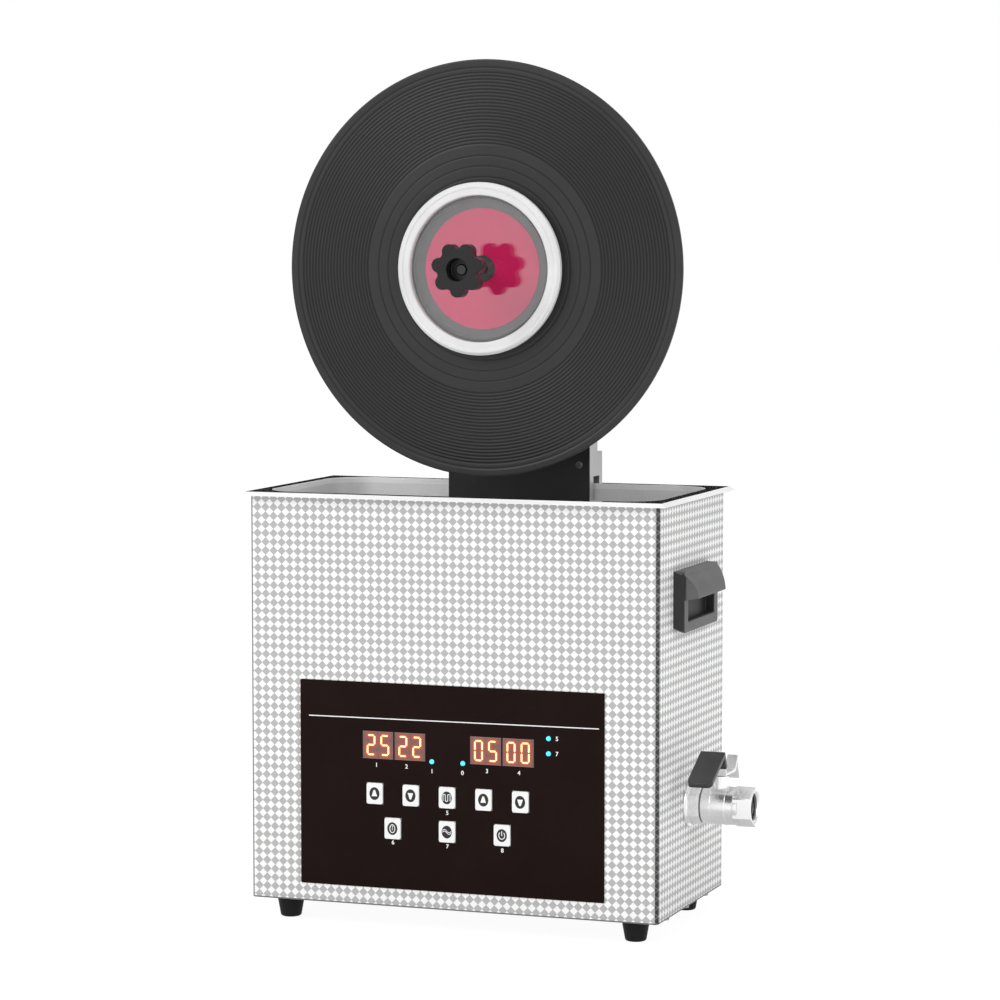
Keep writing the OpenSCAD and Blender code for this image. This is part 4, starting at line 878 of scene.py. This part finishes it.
# Display windows: glass with a glow round the lit bars, and the bars themselves
displayShape = {
    "windowCentres": (-0.0551, -0.0307, 0.0267, 0.0511),
    "windowWidth": 0.0232,
    "windowHeight": 0.0196,
    "centreZ": 0.132,
    "faceY": -0.08055,
    "backY": -0.0795,
    "digits": ("25", "22", "05", "00"),
    "digitPitch": 0.0106,
    "barAcross": 0.0054,       # width of a digit between its upright bars' middles
    "barUp": 0.0069,           # height between two level bars' middles
    "barThick": 0.00125,
    "barGap": 0.0006,
    "barRaise": 0.0001,        # thickness of a bar
    "barStep": 0.00005,        # how far its middle stands out from the glass
    "glowReach": 0.0021,
    "glowFall": 1.6,
    "gridStep": 0.0004,
}
litBars = {"0": "abcdef", "2": "abdeg", "5": "acdfg"}


def barMiddles(digit, cx, cz):
    across, up = displayShape["barAcross"] / 2, displayShape["barUp"]
    spots = {"a": (0, up, 0), "b": (across, up / 2, 1), "c": (across, -up / 2, 1), "d": (0, -up, 0),
             "e": (-across, -up / 2, 1), "f": (-across, up / 2, 1), "g": (0, 0, 0)}
    return [(cx + spots[bar][0], cz + spots[bar][1], spots[bar][2]) for bar in litBars[digit]]


def allBars():
    bars = []
    for centre, text in zip(displayShape["windowCentres"], displayShape["digits"]):
        for place, digit in enumerate(text):
            cx = centre + (place - 0.5) * displayShape["digitPitch"]
            bars.append((centre, barMiddles(digit, cx, displayShape["centreZ"])))
    return bars


def distanceToBar(x, z, bar):
    bx, bz, turned = bar
    half = ((displayShape["barUp"] if turned else displayShape["barAcross"]) - displayShape["barThick"]) / 2
    dx, dz = x - bx, z - bz
    if turned:
        dx, dz = dz, dx
    return math.hypot(max(abs(dx) - half, 0.0), dz)


def windowBuilder(shape):
    glow = shape.verts.layers.float.new("glow")
    width, height, step = displayShape["windowWidth"], displayShape["windowHeight"], displayShape["gridStep"]
    across, up = round(width / step), round(height / step)
    y, back = displayShape["faceY"], displayShape["backY"]
    reach, fall = displayShape["glowReach"], displayShape["glowFall"]
    groups = {}
    for centre, bars in allBars():
        groups.setdefault(centre, []).extend(bars)
    for centre in displayShape["windowCentres"]:
        rows = []
        for j in range(up + 1):
            rows.append([])
            for i in range(across + 1):
                x = centre - width / 2 + width * i / across
                z = displayShape["centreZ"] - height / 2 + height * j / up
                vert = shape.verts.new((x, y, z))
                near = min(distanceToBar(x, z, bar) for bar in groups[centre])
                vert[glow] = math.exp(-(near / reach) ** fall)
                rows[j].append(vert)
        for j in range(up):
            for i in range(across):
                shape.faces.new((rows[j][i], rows[j][i + 1], rows[j + 1][i + 1], rows[j + 1][i]))
        border = rows[0] + [row[across] for row in rows[1:]]
        border += rows[up][across - 1::-1] + [row[0] for row in rows[up - 1:0:-1]]
        behind = [shape.verts.new((vert.co.x, back, vert.co.z)) for vert in border]
        for i in range(len(border)):
            k = (i + 1) % len(border)
            shape.faces.new((border[k], border[i], behind[i], behind[k]))
        shape.faces.new(behind)
    bmesh.ops.recalc_face_normals(shape, faces=shape.faces)


windowFinish = {
    "dim": tone(84, 66, 66), "dimOther": tone(92, 73, 73), "patch": 700.0, "roughness": 0.25,
    "edge": tone(130, 112, 112), "edgeShare": 0.35,
    "edgeFrom": 0.0006,        # the paler line along a window's upper and lower edge, from here
    "edgeTo": 0.0003,          # to here, measured in from the edge
    "litLow": tone(190, 70, 30), "litHigh": tone(232, 104, 44), "underGlow": tone(120, 40, 18),
    "glow": 0.62,
}


def windowGlassMaterial():
    look = windowFinish
    made, tree, shader = blankMaterial("windowGlass", look["roughness"])
    m = partial(maths, tree)
    held = addNode(tree, "ShaderNodeAttribute", attribute_name="glow")
    where, parts = objectCoordinates(tree)
    dim = twoTone(tree, noise(tree, where, look["patch"], 2.0), look["dim"], look["dimOther"], 0.3, 0.7)
    upOff = m("ABSOLUTE", m("SUBTRACT", parts["Z"], displayShape["centreZ"]))
    top = displayShape["windowHeight"] / 2
    edge = between(tree, upOff, top - look["edgeFrom"], top - look["edgeTo"], 0.0, look["edgeShare"])
    dim = mixColours(tree, edge, dim, look["edge"])
    share = between(tree, held.outputs["Fac"], 0.05, 0.95, 0.0, 1.0)
    lit = mixColours(tree, m("POWER", share, 2.0), look["litLow"], look["litHigh"])
    feed(tree, shader.inputs["Base Color"], mixColours(tree, share, dim, look["underGlow"]))
    feed(tree, shader.inputs["Emission Color"], mixColours(tree, m("POWER", share, 0.8), dim, lit))
    shader.inputs["Emission Strength"].default_value = look["glow"]
    return made


def digitTree():
    # One bar with pointed ends is put on every point, turned where the point says so
    tree, given, output = geometryTree("litBarTree", {
        "acrossLength": displayShape["barAcross"] - displayShape["barGap"],
        "upLength": displayShape["barUp"] - displayShape["barGap"],
        "thickness": displayShape["barThick"],
        "raise": displayShape["barRaise"],
    }, {}, ("Places",))
    m = partial(maths, tree)
    places = addNode(tree, "GeometryNodeObjectInfo", transform_space="ORIGINAL")
    tree.links.new(given["Places"], places.inputs["Object"])
    results = []
    for turned, lengthName in ((0, "acrossLength"), (1, "upLength")):
        # a six-sided disc, whose two points along X become the tips and the other four the shoulders
        bar = addNode(tree, "GeometryNodeMeshCylinder", fill_type="NGON")
        for label, value in (("Vertices", 6), ("Radius", 0.5), ("Depth", 1.0)):
            bar.inputs[label].default_value = value
        corner = ownPlace(tree)
        half = m("MULTIPLY", given[lengthName], 0.5)
        thin = m("MULTIPLY", given["thickness"], 0.5)
        isTip = m("GREATER_THAN", m("ABSOLUTE", corner["X"]), 0.4)
        shoulder = m("MULTIPLY", m("SUBTRACT", 1.0, isTip), thin)
        lengthways = m("MULTIPLY", m("SIGN", corner["X"]), m("SUBTRACT", half, shoulder))
        away = m("MULTIPLY", m("SIGN", corner["Y"]), shoulder)
        outward = m("MULTIPLY", corner["Z"], given["raise"])
        ends = (away, outward, lengthways) if turned else (lengthways, outward, away)
        shaped = setPlaces(tree, bar.outputs["Mesh"], combined(tree, *ends))
        mark = addNode(tree, "GeometryNodeInputNamedAttribute", data_type="FLOAT")
        mark.inputs["Name"].default_value = "turned"
        chosen = addNode(tree, "FunctionNodeCompare", data_type="FLOAT", operation="EQUAL")
        tree.links.new(mark.outputs["Attribute"], chosen.inputs[0])
        chosen.inputs[1].default_value = float(turned)
        put = addNode(tree, "GeometryNodeInstanceOnPoints")
        tree.links.new(places.outputs["Geometry"], put.inputs["Points"])
        tree.links.new(chosen.outputs[0], put.inputs["Selection"])
        tree.links.new(shaped, put.inputs["Instance"])
        results.append(put.outputs[0])
    endTree(tree, results, given, output)
    return tree


def barPlaces():
    mesh = bpy.data.meshes.new("barPlaces")
    spots = [bar for _, bars in allBars() for bar in bars]
    y = displayShape["faceY"] - displayShape["barStep"]
    mesh.from_pydata([(x, y, z) for x, z, _ in spots], [], [])
    mark = mesh.attributes.new("turned", "FLOAT", "POINT")
    mark.data.foreach_set("value", [float(turned) for _, _, turned in spots])
    return linked("barPlaces", mesh)


windowMesh = meshFrom("displayWindows", windowBuilder)
windows = newPiece("displayWindows", windowMesh, "machine", "display_window", windowGlassMaterial())
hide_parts("displays")
litMaterial = glowMaterial("litBar", tone(255, 232, 176), tone(255, 206, 140), 0.95, 900.0)
placesHolder = barPlaces()
digitMesh = runTree("displayDigits", digitTree(), litMaterial, Places=placesHolder)
outwardFaces(digitMesh)
bpy.data.objects.remove(placesHolder)
digits = newPiece("displayDigits", digitMesh, "machine", "display_window")
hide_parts("displays")
print("stage: displays")


# Key marks: an oval with a plain symbol, riding on each key
keyMarks = {
    "rowOneX": (-0.0574, -0.0298, -0.0022, 0.0254, 0.0530),
    "rowOneZ": 0.0971,
    "rowTwoX": (-0.0437, -0.0022, 0.0393),
    "rowTwoZ": 0.0726,
    "ovalAcross": 0.0077,
    "ovalUp": 0.0092,
    "line": 0.00055,
    "thinLine": 0.00044,
    "boldLine": 0.000605,
    "step": 0.00004,           # how far each printed layer stands out
    "arrow": {"footHalf": 0.0021, "footDrop": 0.0019, "tipHalf": 0.0006, "tipRise": 0.0026},
    "squareWave": {"uprights": (-0.0028, -0.0010, 0.0008, 0.0026), "half": 0.0024},
    "sineWave": {"half": 0.0034, "swing": 0.0011, "lifts": (-0.00045, 0.00075), "steps": 20},
    "heatRing": {"across": 0.0019, "up": 0.0029, "steps": 28, "barFrom": -0.0012, "barTo": 0.0022},
    "power": {"across": 0.0022, "up": 0.0026, "from": 40, "sweep": 280, "steps": 24,
              "barFrom": -0.0003, "barTo": 0.0031},
}


def upArrow(shape, cx, cz, y, flip=1):
    arrow = keyMarks["arrow"]
    foot, tip = cz - flip * arrow["footDrop"], cz + flip * arrow["tipRise"]
    corners = [(cx - arrow["footHalf"], foot), (cx + arrow["footHalf"], foot),
               (cx + arrow["tipHalf"], tip), (cx - arrow["tipHalf"], tip)]
    flatFace(shape, corners[::flip], y, 1)


def downArrow(shape, cx, cz, y):
    upArrow(shape, cx, cz, y, -1)


def squareWave(shape, cx, cz, y):
    levels = [cz - keyMarks["squareWave"]["half"], cz + keyMarks["squareWave"]["half"]]
    points = []
    for offset in keyMarks["squareWave"]["uprights"]:
        points += [(cx + offset, level) for level in levels]
        levels.reverse()
    for a, b in zip(points, points[1:]):
        strokeFaces(shape, [a, b], keyMarks["line"], y, 1)


def sineWave(shape, cx, cz, y):
    wave = keyMarks["sineWave"]
    shares = [i / wave["steps"] for i in range(wave["steps"] + 1)]
    for lift in wave["lifts"]:
        points = [(cx + wave["half"] * (2 * share - 1),
                   cz + lift + wave["swing"] * math.sin(2 * math.pi * share)) for share in shares]
        strokeFaces(shape, points, keyMarks["thinLine"], y, 1)


def heatRing(shape, cx, cz, y):
    ring = keyMarks["heatRing"]
    oval = ovalCorners(cx, cz, ring["across"], ring["up"], ring["steps"])
    strokeFaces(shape, oval, keyMarks["boldLine"], y, 1, closed=True)
    strokeFaces(shape, [(cx, cz + ring["barFrom"]), (cx, cz + ring["barTo"])], keyMarks["thinLine"], y, 1)


def powerSign(shape, cx, cz, y):
    sign = keyMarks["power"]
    turns = [math.radians(sign["from"] + sign["sweep"] * i / sign["steps"]) for i in range(sign["steps"] + 1)]
    arc = [(cx + sign["across"] * math.sin(turn), cz + sign["up"] * math.cos(turn)) for turn in turns]
    strokeFaces(shape, arc, keyMarks["boldLine"], y, 1)
    strokeFaces(shape, [(cx, cz + sign["barFrom"]), (cx, cz + sign["barTo"])], keyMarks["boldLine"], y, 1)


keySymbols = {
    "rowOne": (("key_heat_up", upArrow), ("key_heat_down", downArrow), ("key_degas", squareWave),
               ("key_time_up", upArrow), ("key_time_down", downArrow)),
    "rowTwo": (("key_heat", heatRing), ("key_gentle", sineWave), ("key_power", powerSign)),
}


def addKeyMark(keyName, symbol, cx, cz):
    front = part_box(keyName)[0].y

    def build(shape):
        oval = ovalCorners(cx, cz, keyMarks["ovalAcross"] / 2, keyMarks["ovalUp"] / 2)
        flatFace(shape, oval, front - keyMarks["step"], 0)
        symbol(shape, cx, cz, front - 2 * keyMarks["step"])

    newPiece(keyName + "_mark", meshFrom(keyName + "Mark", build), keyName, "key_white",
             finishes["printBlack"], finishes["printWhite"])


for row, members in keySymbols.items():
    for (keyName, symbol), cx in zip(members, keyMarks[row + "X"]):
        addKeyMark(keyName, symbol, cx, keyMarks[row + "Z"])
print("stage: key marks")


# Panel print: the header line and plain numbers where the words were
panelPrint = {
    "headerFrom": (-0.1084, 0.1510),
    "headerTo": (0.1110, 0.1519),
    "headerThick": 0.0007,
    "numberSize": 0.0042,
    "numberBold": 0.00008,
    "step": 0.00005,           # how far the print stands out
    "numbers": (("1", -0.0562, 0.1176), ("2", -0.0332, 0.1176), ("3", 0.0278, 0.1176), ("4", 0.0518, 0.1176),
                ("1", -0.0138, 0.1153), ("0", 0.0093, 0.1153), ("5", -0.0022, 0.0861), ("6", -0.0437, 0.0624),
                ("7", -0.0022, 0.0620), ("8", 0.0393, 0.0616), ("5", 0.0800, 0.1432), ("7", 0.0800, 0.1325)),
}


def panelBuilder(shape):
    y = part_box("control_panel")[0].y - panelPrint["step"]
    for text, x, z in panelPrint["numbers"]:
        words = bpy.data.curves.new("panelNumber", "FONT")
        words.body = text
        words.size = panelPrint["numberSize"]
        words.align_x = "CENTER"
        words.align_y = "CENTER"
        words.offset = panelPrint["numberBold"]
        holder = linked("panelNumber", words)
        mesh = workedMesh(holder)
        mesh.transform(Matrix.Translation((x, y, z)) @ Matrix.Rotation(math.radians(90), 4, "X"))
        shape.from_mesh(mesh)
        bpy.data.objects.remove(holder)
        bpy.data.meshes.remove(mesh)
    strokeFaces(shape, [panelPrint["headerFrom"], panelPrint["headerTo"]], panelPrint["headerThick"], y)


printMesh = meshFrom("panelPrint", panelBuilder)
newPiece("panel_print", printMesh, "machine", "panel_film", finishes["printWhite"])
print("stage: panel print")


# Rack screws: domed heads with a cross recess, one tree for all of them
screwShape = {
    "headRadius": 0.00275,
    "headHeight": 0.0012,
    "crossLength": 0.0032,
    "crossWidth": 0.0007,
    "crossShare": 0.95,        # the recess's middle, as a share of the head's height
    "segments": 32,
    "rings": 12,
    "x": (-0.0473, 0.0473),
    "z": (0.225, 0.325, 0.4245, 0.506),
}


def screwTree():
    tree, given, output = geometryTree("screwHeads", {
        "radius": screwShape["headRadius"], "height": screwShape["headHeight"],
        "crossLength": screwShape["crossLength"], "crossWidth": screwShape["crossWidth"],
        "frontY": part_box("rack_plate")[0].y,
    }, {"segments": screwShape["segments"], "rings": screwShape["rings"]})
    dome = addNode(tree, "GeometryNodeMeshUVSphere")
    for label, value in (("Segments", given["segments"]), ("Rings", given["rings"]), ("Radius", 1.0)):
        feed(tree, dome.inputs[label], value)
    domeSize = combined(tree, given["radius"], given["height"], given["radius"])
    cut = addNode(tree, "GeometryNodeMeshBoolean", operation="DIFFERENCE")
    tree.links.new(moved(tree, dome.outputs["Mesh"], Scale=domeSize), cut.inputs["Mesh 1"])
    depth = maths(tree, "MULTIPLY", given["height"], -screwShape["crossShare"])
    for across, up in (("crossLength", "crossWidth"), ("crossWidth", "crossLength")):
        slot = addNode(tree, "GeometryNodeMeshCube")
        tree.links.new(combined(tree, given[across], given["height"], given[up]), slot.inputs["Size"])
        recess = moved(tree, slot.outputs["Mesh"], Translation=combined(tree, 0.0, depth, 0.0))
        tree.links.new(recess, cut.inputs["Mesh 2"])
    heads = []
    for x in screwShape["x"]:
        for z in screwShape["z"]:
            spot = combined(tree, x, given["frontY"], z)
            heads.append(moved(tree, cut.outputs["Mesh"], Translation=spot))
    endTree(tree, heads, given, output)
    return tree


screwMesh = runTree("rackScrewHeads", screwTree(), finishes["screwBlack"])
smoothBelow(screwMesh, 40)
screws = newPiece("rack_screw_heads", screwMesh, "machine", "screw_black")
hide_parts("rack_screws")
print("stage: rack screws")


# Thread inside the valve's outlet
threadShape = {
    "axisY": -0.0047, "axisZ": 0.09, "from": 0.1915, "to": 0.2008,
    "radius": 0.0093, "depth": 0.0007, "pitch": 0.0018,
    "perTurn": 48,
    "sides": 4,                # corners of the ridge's section
}


def threadTree():
    length = threadShape["to"] - threadShape["from"]
    tree, given, output = geometryTree("outletThread", {
        "rotations": length / threadShape["pitch"], "radius": threadShape["radius"], "length": length,
        "depth": threadShape["depth"]}, {"perTurn": threadShape["perTurn"], "sides": threadShape["sides"]})
    path = addNode(tree, "GeometryNodeCurveSpiral")
    for label, name in (("Resolution", "perTurn"), ("Rotations", "rotations"), ("Start Radius", "radius"),
                        ("End Radius", "radius"), ("Height", "length")):
        tree.links.new(given[name], path.inputs[label])
    section = addNode(tree, "GeometryNodeCurvePrimitiveCircle", mode="RADIUS")
    tree.links.new(given["sides"], section.inputs["Resolution"])
    tree.links.new(given["depth"], section.inputs["Radius"])
    swept = addNode(tree, "GeometryNodeCurveToMesh")
    tree.links.new(path.outputs["Curve"], swept.inputs["Curve"])
    tree.links.new(section.outputs["Curve"], swept.inputs["Profile Curve"])
    swept.inputs["Fill Caps"].default_value = True
    start = (threadShape["from"], threadShape["axisY"], threadShape["axisZ"])
    turned = moved(tree, swept.outputs[0], Rotation=(0.0, math.radians(90), 0.0), Translation=start)
    endTree(tree, [turned], given, output)
    return tree


threadMesh = runTree("outletThread", threadTree(), finishes["valveMetal"])
outwardFaces(threadMesh)
newPiece("outlet_thread", threadMesh, "machine", "valve_metal")
print("stage: outlet thread")


# Camera, floor and lights
cameraView = {
    "place": (0.8849, -2.4184, 0.5140),
    "azimuth": 19.923,
    "elevation": 4.688,
    "lens": 128.18,
    "sensor": 36.0,
    "seesTo": 200.0,
}
cameraData = bpy.data.cameras.new("photoCamera")
cameraData.lens = cameraView["lens"]
cameraData.sensor_width = cameraView["sensor"]
cameraData.clip_end = cameraView["seesTo"]
camera = linked("photoCamera", cameraData)
camera.location = cameraView["place"]
camera.rotation_euler = (math.radians(90 - cameraView["elevation"]), 0.0, math.radians(cameraView["azimuth"]))
bpy.context.scene.camera = camera

studio = {
    "floorSize": 60.0,
    "floorDrop": 0.0002,       # how far the floor lies below the feet
    "floorGrey": 0.9,          # the floor as it throws light back
    "floorWhite": 0.86,        # share of the floor's own white that the camera sees
    "floorGlow": 1.1,
    "nearShadeGlow": 0.56,          # the floor's glow near the machine, lowered as painted shade, as its metal sees it
    "nearReach": (0.22, 0.5),
    "cardSize": (9.0, 1.1), "cardPlace": (-2.2, 6.0, 0.5), "cardGrey": 0.0015,
    "ceilingSize": (9.0, 9.0), "ceilingPlace": (0.0, 1.5, 3.8), "ceilingGrey": 0.42,
    "worldLight": 0.62,
    "aimAt": (0.0, 0.0, 0.3),
    "lamps": {                 # power, size and place
        "keyLight": (62.0, 2.4, (-2.2, -3.0, 2.6)),
        "fillLight": (26.0, 2.2, (3.2, -1.2, 1.8)),
        "topLight": (26.0, 2.6, (0.0, 0.4, 3.2)),
    },
}
white = (1, 1, 1, 1)


def emptyTree(owner, endKind):
    # Nodes of a material or world, with nothing but their end
    owner.use_nodes = True
    owner.node_tree.nodes.clear()
    return owner.node_tree, addNode(owner.node_tree, endKind)


def whiteRays(tree):
    # 1 for rays from the camera, and for those that metal or glass sends on
    path = addNode(tree, "ShaderNodeLightPath")
    seen = maths(tree, "MAXIMUM", path.outputs["Is Camera Ray"], path.outputs["Is Glossy Ray"])
    return maths(tree, "MAXIMUM", seen, path.outputs["Is Transmission Ray"])


def mixInto(tree, share, first, second, socket):
    mixer = addNode(tree, "ShaderNodeMixShader")
    feed(tree, mixer.inputs[0], share)
    tree.links.new(first.outputs[0], mixer.inputs[1])
    tree.links.new(second.outputs[0], mixer.inputs[2])
    tree.links.new(mixer.outputs[0], socket)


def floorMaterial():
    made = bpy.data.materials.new("paleFloor")
    tree, end = emptyTree(made, "ShaderNodeOutputMaterial")
    m = partial(maths, tree)
    matt = addNode(tree, "ShaderNodeBsdfDiffuse")
    matt.inputs["Color"].default_value = (studio["floorGrey"],) * 3 + (1,)
    glow = addNode(tree, "ShaderNodeEmission")
    glow.inputs["Color"].default_value = white
    glossy = addNode(tree, "ShaderNodeLightPath").outputs["Is Glossy Ray"]
    _, parts = objectCoordinates(tree)
    away = radiusOf(tree, parts["X"], parts["Y"])
    # painted shade on the floor near the machine, seen only in reflections
    near = between(tree, away, *studio["nearReach"], studio["nearShadeGlow"], studio["floorGlow"])
    nearShadeDimming = m("MULTIPLY", m("SUBTRACT", studio["floorGlow"], near), glossy)
    feed(tree, glow.inputs["Strength"], m("SUBTRACT", studio["floorGlow"], nearShadeDimming))
    share = m("MULTIPLY", whiteRays(tree), studio["floorWhite"])
    mixInto(tree, share, matt, glow, end.inputs["Surface"])
    return made


def addStage(name, corners, material):
    def build(shape):
        shape.faces.new([shape.verts.new(corner) for corner in corners])

    made = linked(name, meshFrom(name, build))
    made.data.materials.append(material)
    return made


def addCard(name, corners, brightness):
    # A card that shows only in the metal
    material = bpy.data.materials.new(name)
    tree, end = emptyTree(material, "ShaderNodeOutputMaterial")
    glow = addNode(tree, "ShaderNodeEmission")
    glow.inputs["Strength"].default_value = brightness
    tree.links.new(glow.outputs[0], end.inputs["Surface"])
    card = addStage(name, corners, material)
    card.visible_camera = False
    card.visible_diffuse = False
    card.visible_shadow = False
    card.visible_transmission = False


half, down = studio["floorSize"] / 2, -studio["floorDrop"]
addStage("floor", [(-half, -half, down), (half, -half, down), (half, half, down), (-half, half, down)],
         floorMaterial())
# a dark card far behind, for the polished rim, and a grey ceiling
(cardWide, cardHigh), (cardX, cardY, cardZ) = studio["cardSize"], studio["cardPlace"]
addCard("darkCard", [(cardX + sx * cardWide / 2, cardY, cardZ + sz * cardHigh / 2)
                     for sx, sz in ((-1, -1), (1, -1), (1, 1), (-1, 1))], studio["cardGrey"])
(cardWide, cardDeep), (cardX, cardY, cardZ) = studio["ceilingSize"], studio["ceilingPlace"]
addCard("greyCeiling", [(cardX + sx * cardWide / 2, cardY + sy * cardDeep / 2, cardZ)
                        for sx, sy in ((-1, -1), (-1, 1), (1, 1), (1, -1))], studio["ceilingGrey"])

world = bpy.data.worlds.new("studioWorld")
worldTree, worldEnd = emptyTree(world, "ShaderNodeOutputWorld")
lighting, seenWhite = (addNode(worldTree, "ShaderNodeBackground") for _ in range(2))
for background, strength in ((lighting, studio["worldLight"]), (seenWhite, 1.0)):
    background.inputs["Color"].default_value = white
    background.inputs["Strength"].default_value = strength
mixInto(worldTree, whiteRays(worldTree), lighting, seenWhite, worldEnd.inputs["Surface"])
bpy.context.scene.world = world


def softLight(name, power, size, place):
    data = bpy.data.lights.new(name, "AREA")
    data.shape = "DISK"
    data.size = size
    data.energy = power
    lamp = linked(name, data)
    lamp.location = place
    aim = Vector(studio["aimAt"]) - Vector(place)
    lamp.rotation_euler = aim.to_track_quat("-Z", "Y").to_euler()


for name, (power, size, place) in studio["lamps"].items():
    softLight(name, power, size, place)

bpy.context.scene.view_settings.view_transform = "Standard"
print("stage: studio")
